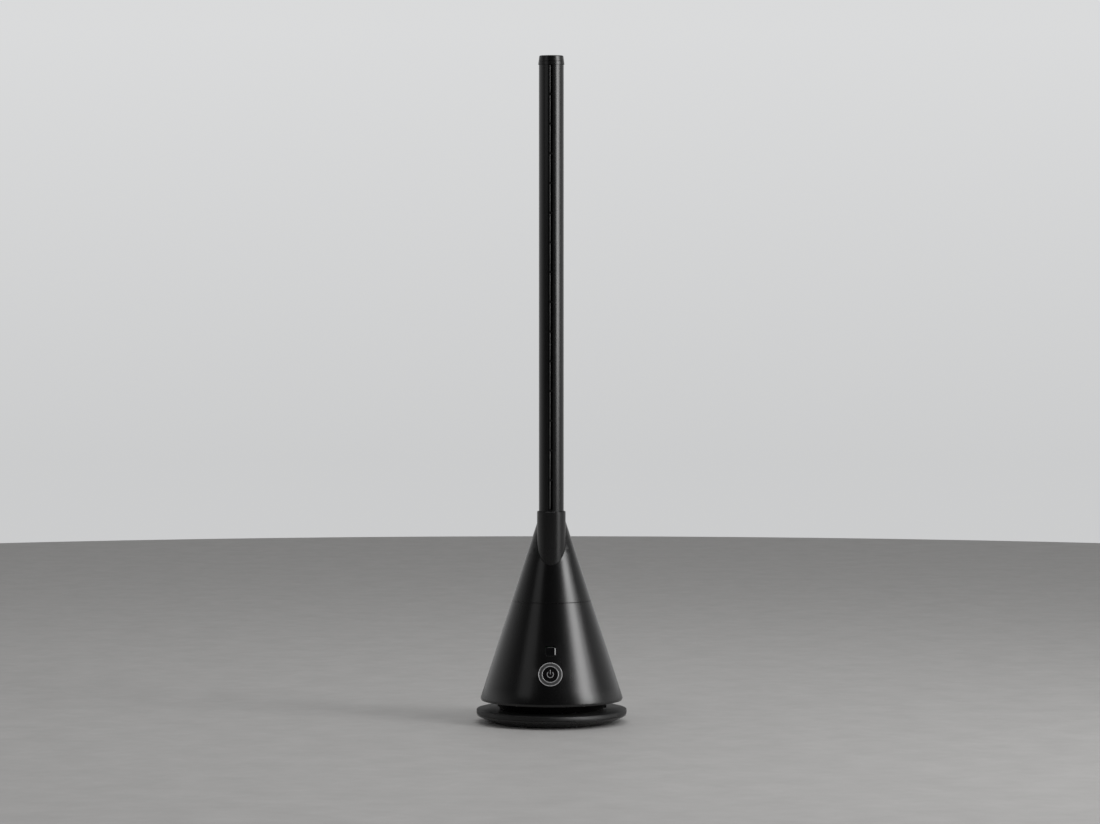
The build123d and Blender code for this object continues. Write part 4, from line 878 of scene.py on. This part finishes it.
# %% Three backgrounds, toned by the heading of a ray
world = bpy.data.worlds.new("studio")
bpy.context.scene.world = world
world.use_nodes = True
tree = world.node_tree
tree.nodes.clear()
heading = tree.nodes.new("ShaderNodeTexCoord")
split = tree.nodes.new("ShaderNodeSeparateXYZ")
tree.links.new(heading.outputs["Generated"], split.inputs["Vector"])
wall_fade = ranged(tree, split.outputs["Z"], 0, 1, WALL_FADE_LOW, WALL_FADE_HIGH)
wall_tone = two_tone(tree, wall_fade, WALL_LOW, WALL_HIGH)
behind = ranged(tree, split.outputs["Y"], 0, 1, BEHIND_LOW, BEHIND_HIGH)
level = ranged(tree, split.outputs["Z"], 1, UP_SHARE, UP_LOW, UP_HIGH)
room_tone = two_tone(tree, combined(tree, "MULTIPLY", behind, level), ROOM_DIM, ROOM_PALE)
wall = tree.nodes.new("ShaderNodeBackground")
room = tree.nodes.new("ShaderNodeBackground")
fill = tree.nodes.new("ShaderNodeBackground")
tree.links.new(wall_tone, wall.inputs["Color"])
tree.links.new(room_tone, room.inputs["Color"])
fill.inputs["Color"].default_value = FILL_GREY
print("even light:", FILL_GREY[0])

# %% Which rays see which tone
rays = tree.nodes.new("ShaderNodeLightPath").outputs
unseen = either_shader(tree, rays["Is Glossy Ray"], fill.outputs["Background"],
                       room.outputs["Background"])
seen = combined(tree, "MAXIMUM", rays["Is Camera Ray"], rays["Is Transmission Ray"])
whole = either_shader(tree, seen, unseen, wall.outputs["Background"])
output = tree.nodes.new("ShaderNodeOutputWorld")
tree.links.new(whole, output.inputs["Surface"])
print("world:", world.name, "with", len(tree.nodes), "nodes")

# %% [markdown]
# ## Lamps
# A black object is drawn by its highlights. A tall soft lamp stands in front on the right,
# with a wide card beside it that only the gloss mirrors: together they draw the long
# highlight down the cone and the tube. A weak lamp on the left gives the faint second line,
# and one overhead lights the floor. Area lamps were chosen because a gloss mirrors their
# shape, as it mirrors a real soft box.

# %% Three lamps and a card
AIM_SHARE = 0.75    # a lamp looks at the axis at this share of its own height


def soft_lamp(name, to_right, away, middle, width, tall, power):
    """A soft lamp turned to the fan, at an angle in degrees to the right of the front."""
    select_none()
    turn = radians(to_right)
    place = Vector((away * sin(turn), -away * cos(turn), middle))
    bpy.ops.object.light_add(type="AREA", location=place)
    lamp = bpy.context.object
    lamp.name = name
    lamp.data.shape = "RECTANGLE"
    lamp.data.size = width
    lamp.data.size_y = tall
    lamp.data.energy = power
    aim = Vector((0, 0, middle * AIM_SHARE)) - place
    lamp.rotation_mode = "QUATERNION"
    lamp.rotation_quaternion = aim.to_track_quat("-Z", "Y")
    print(name, "power", power)
    return lamp


soft_lamp("key_softbox", to_right=63, away=2.3, middle=1.65, width=0.9, tall=2.6, power=44)
soft_lamp("left_softbox", to_right=-47, away=2.6, middle=1.7, width=1.2, tall=1.6, power=3.2)
soft_lamp("top_softbox", to_right=180, away=0.6, middle=3.0, width=2.0, tall=2.0, power=24)
card = soft_lamp("reflection_card", to_right=66, away=2.5, middle=1.65, width=1.9, tall=2.45,
                 power=38)
card.visible_diffuse = False

# %% [markdown]
# ## Camera
# The camera stands level, a little to the right of the front, at the height and distance
# that make the ellipses of the disc and of the cone's rim fall as they do in the
# photograph. It could be tilted down to frame the fan, but that would make its upright
# lines lean, so it stays level and is shifted, as with a view camera.

# %% A level, shifted camera
PICTURE_WIDE = 1100
SHIFT_SIDE, SHIFT_DOWN = 1.6, 147    # pixels of the photograph
CAMERA_TURN = radians(1.2)
CAMERA_AWAY = 5.9
CAMERA_HEIGHT = 0.70
CAMERA_LENS = 125.9
place = (CAMERA_AWAY * sin(CAMERA_TURN), -CAMERA_AWAY * cos(CAMERA_TURN), CAMERA_HEIGHT)
bpy.ops.object.camera_add(location=place, rotation=(pi / 2, 0, CAMERA_TURN))
camera = bpy.context.object
camera.data.sensor_width = 36
camera.data.lens = CAMERA_LENS
camera.data.shift_x = -SHIFT_SIDE / PICTURE_WIDE
camera.data.shift_y = -SHIFT_DOWN / PICTURE_WIDE
bpy.context.scene.camera = camera
bpy.context.scene.view_settings.view_transform = "Standard"
print("camera at", [round(value, 3) for value in place])
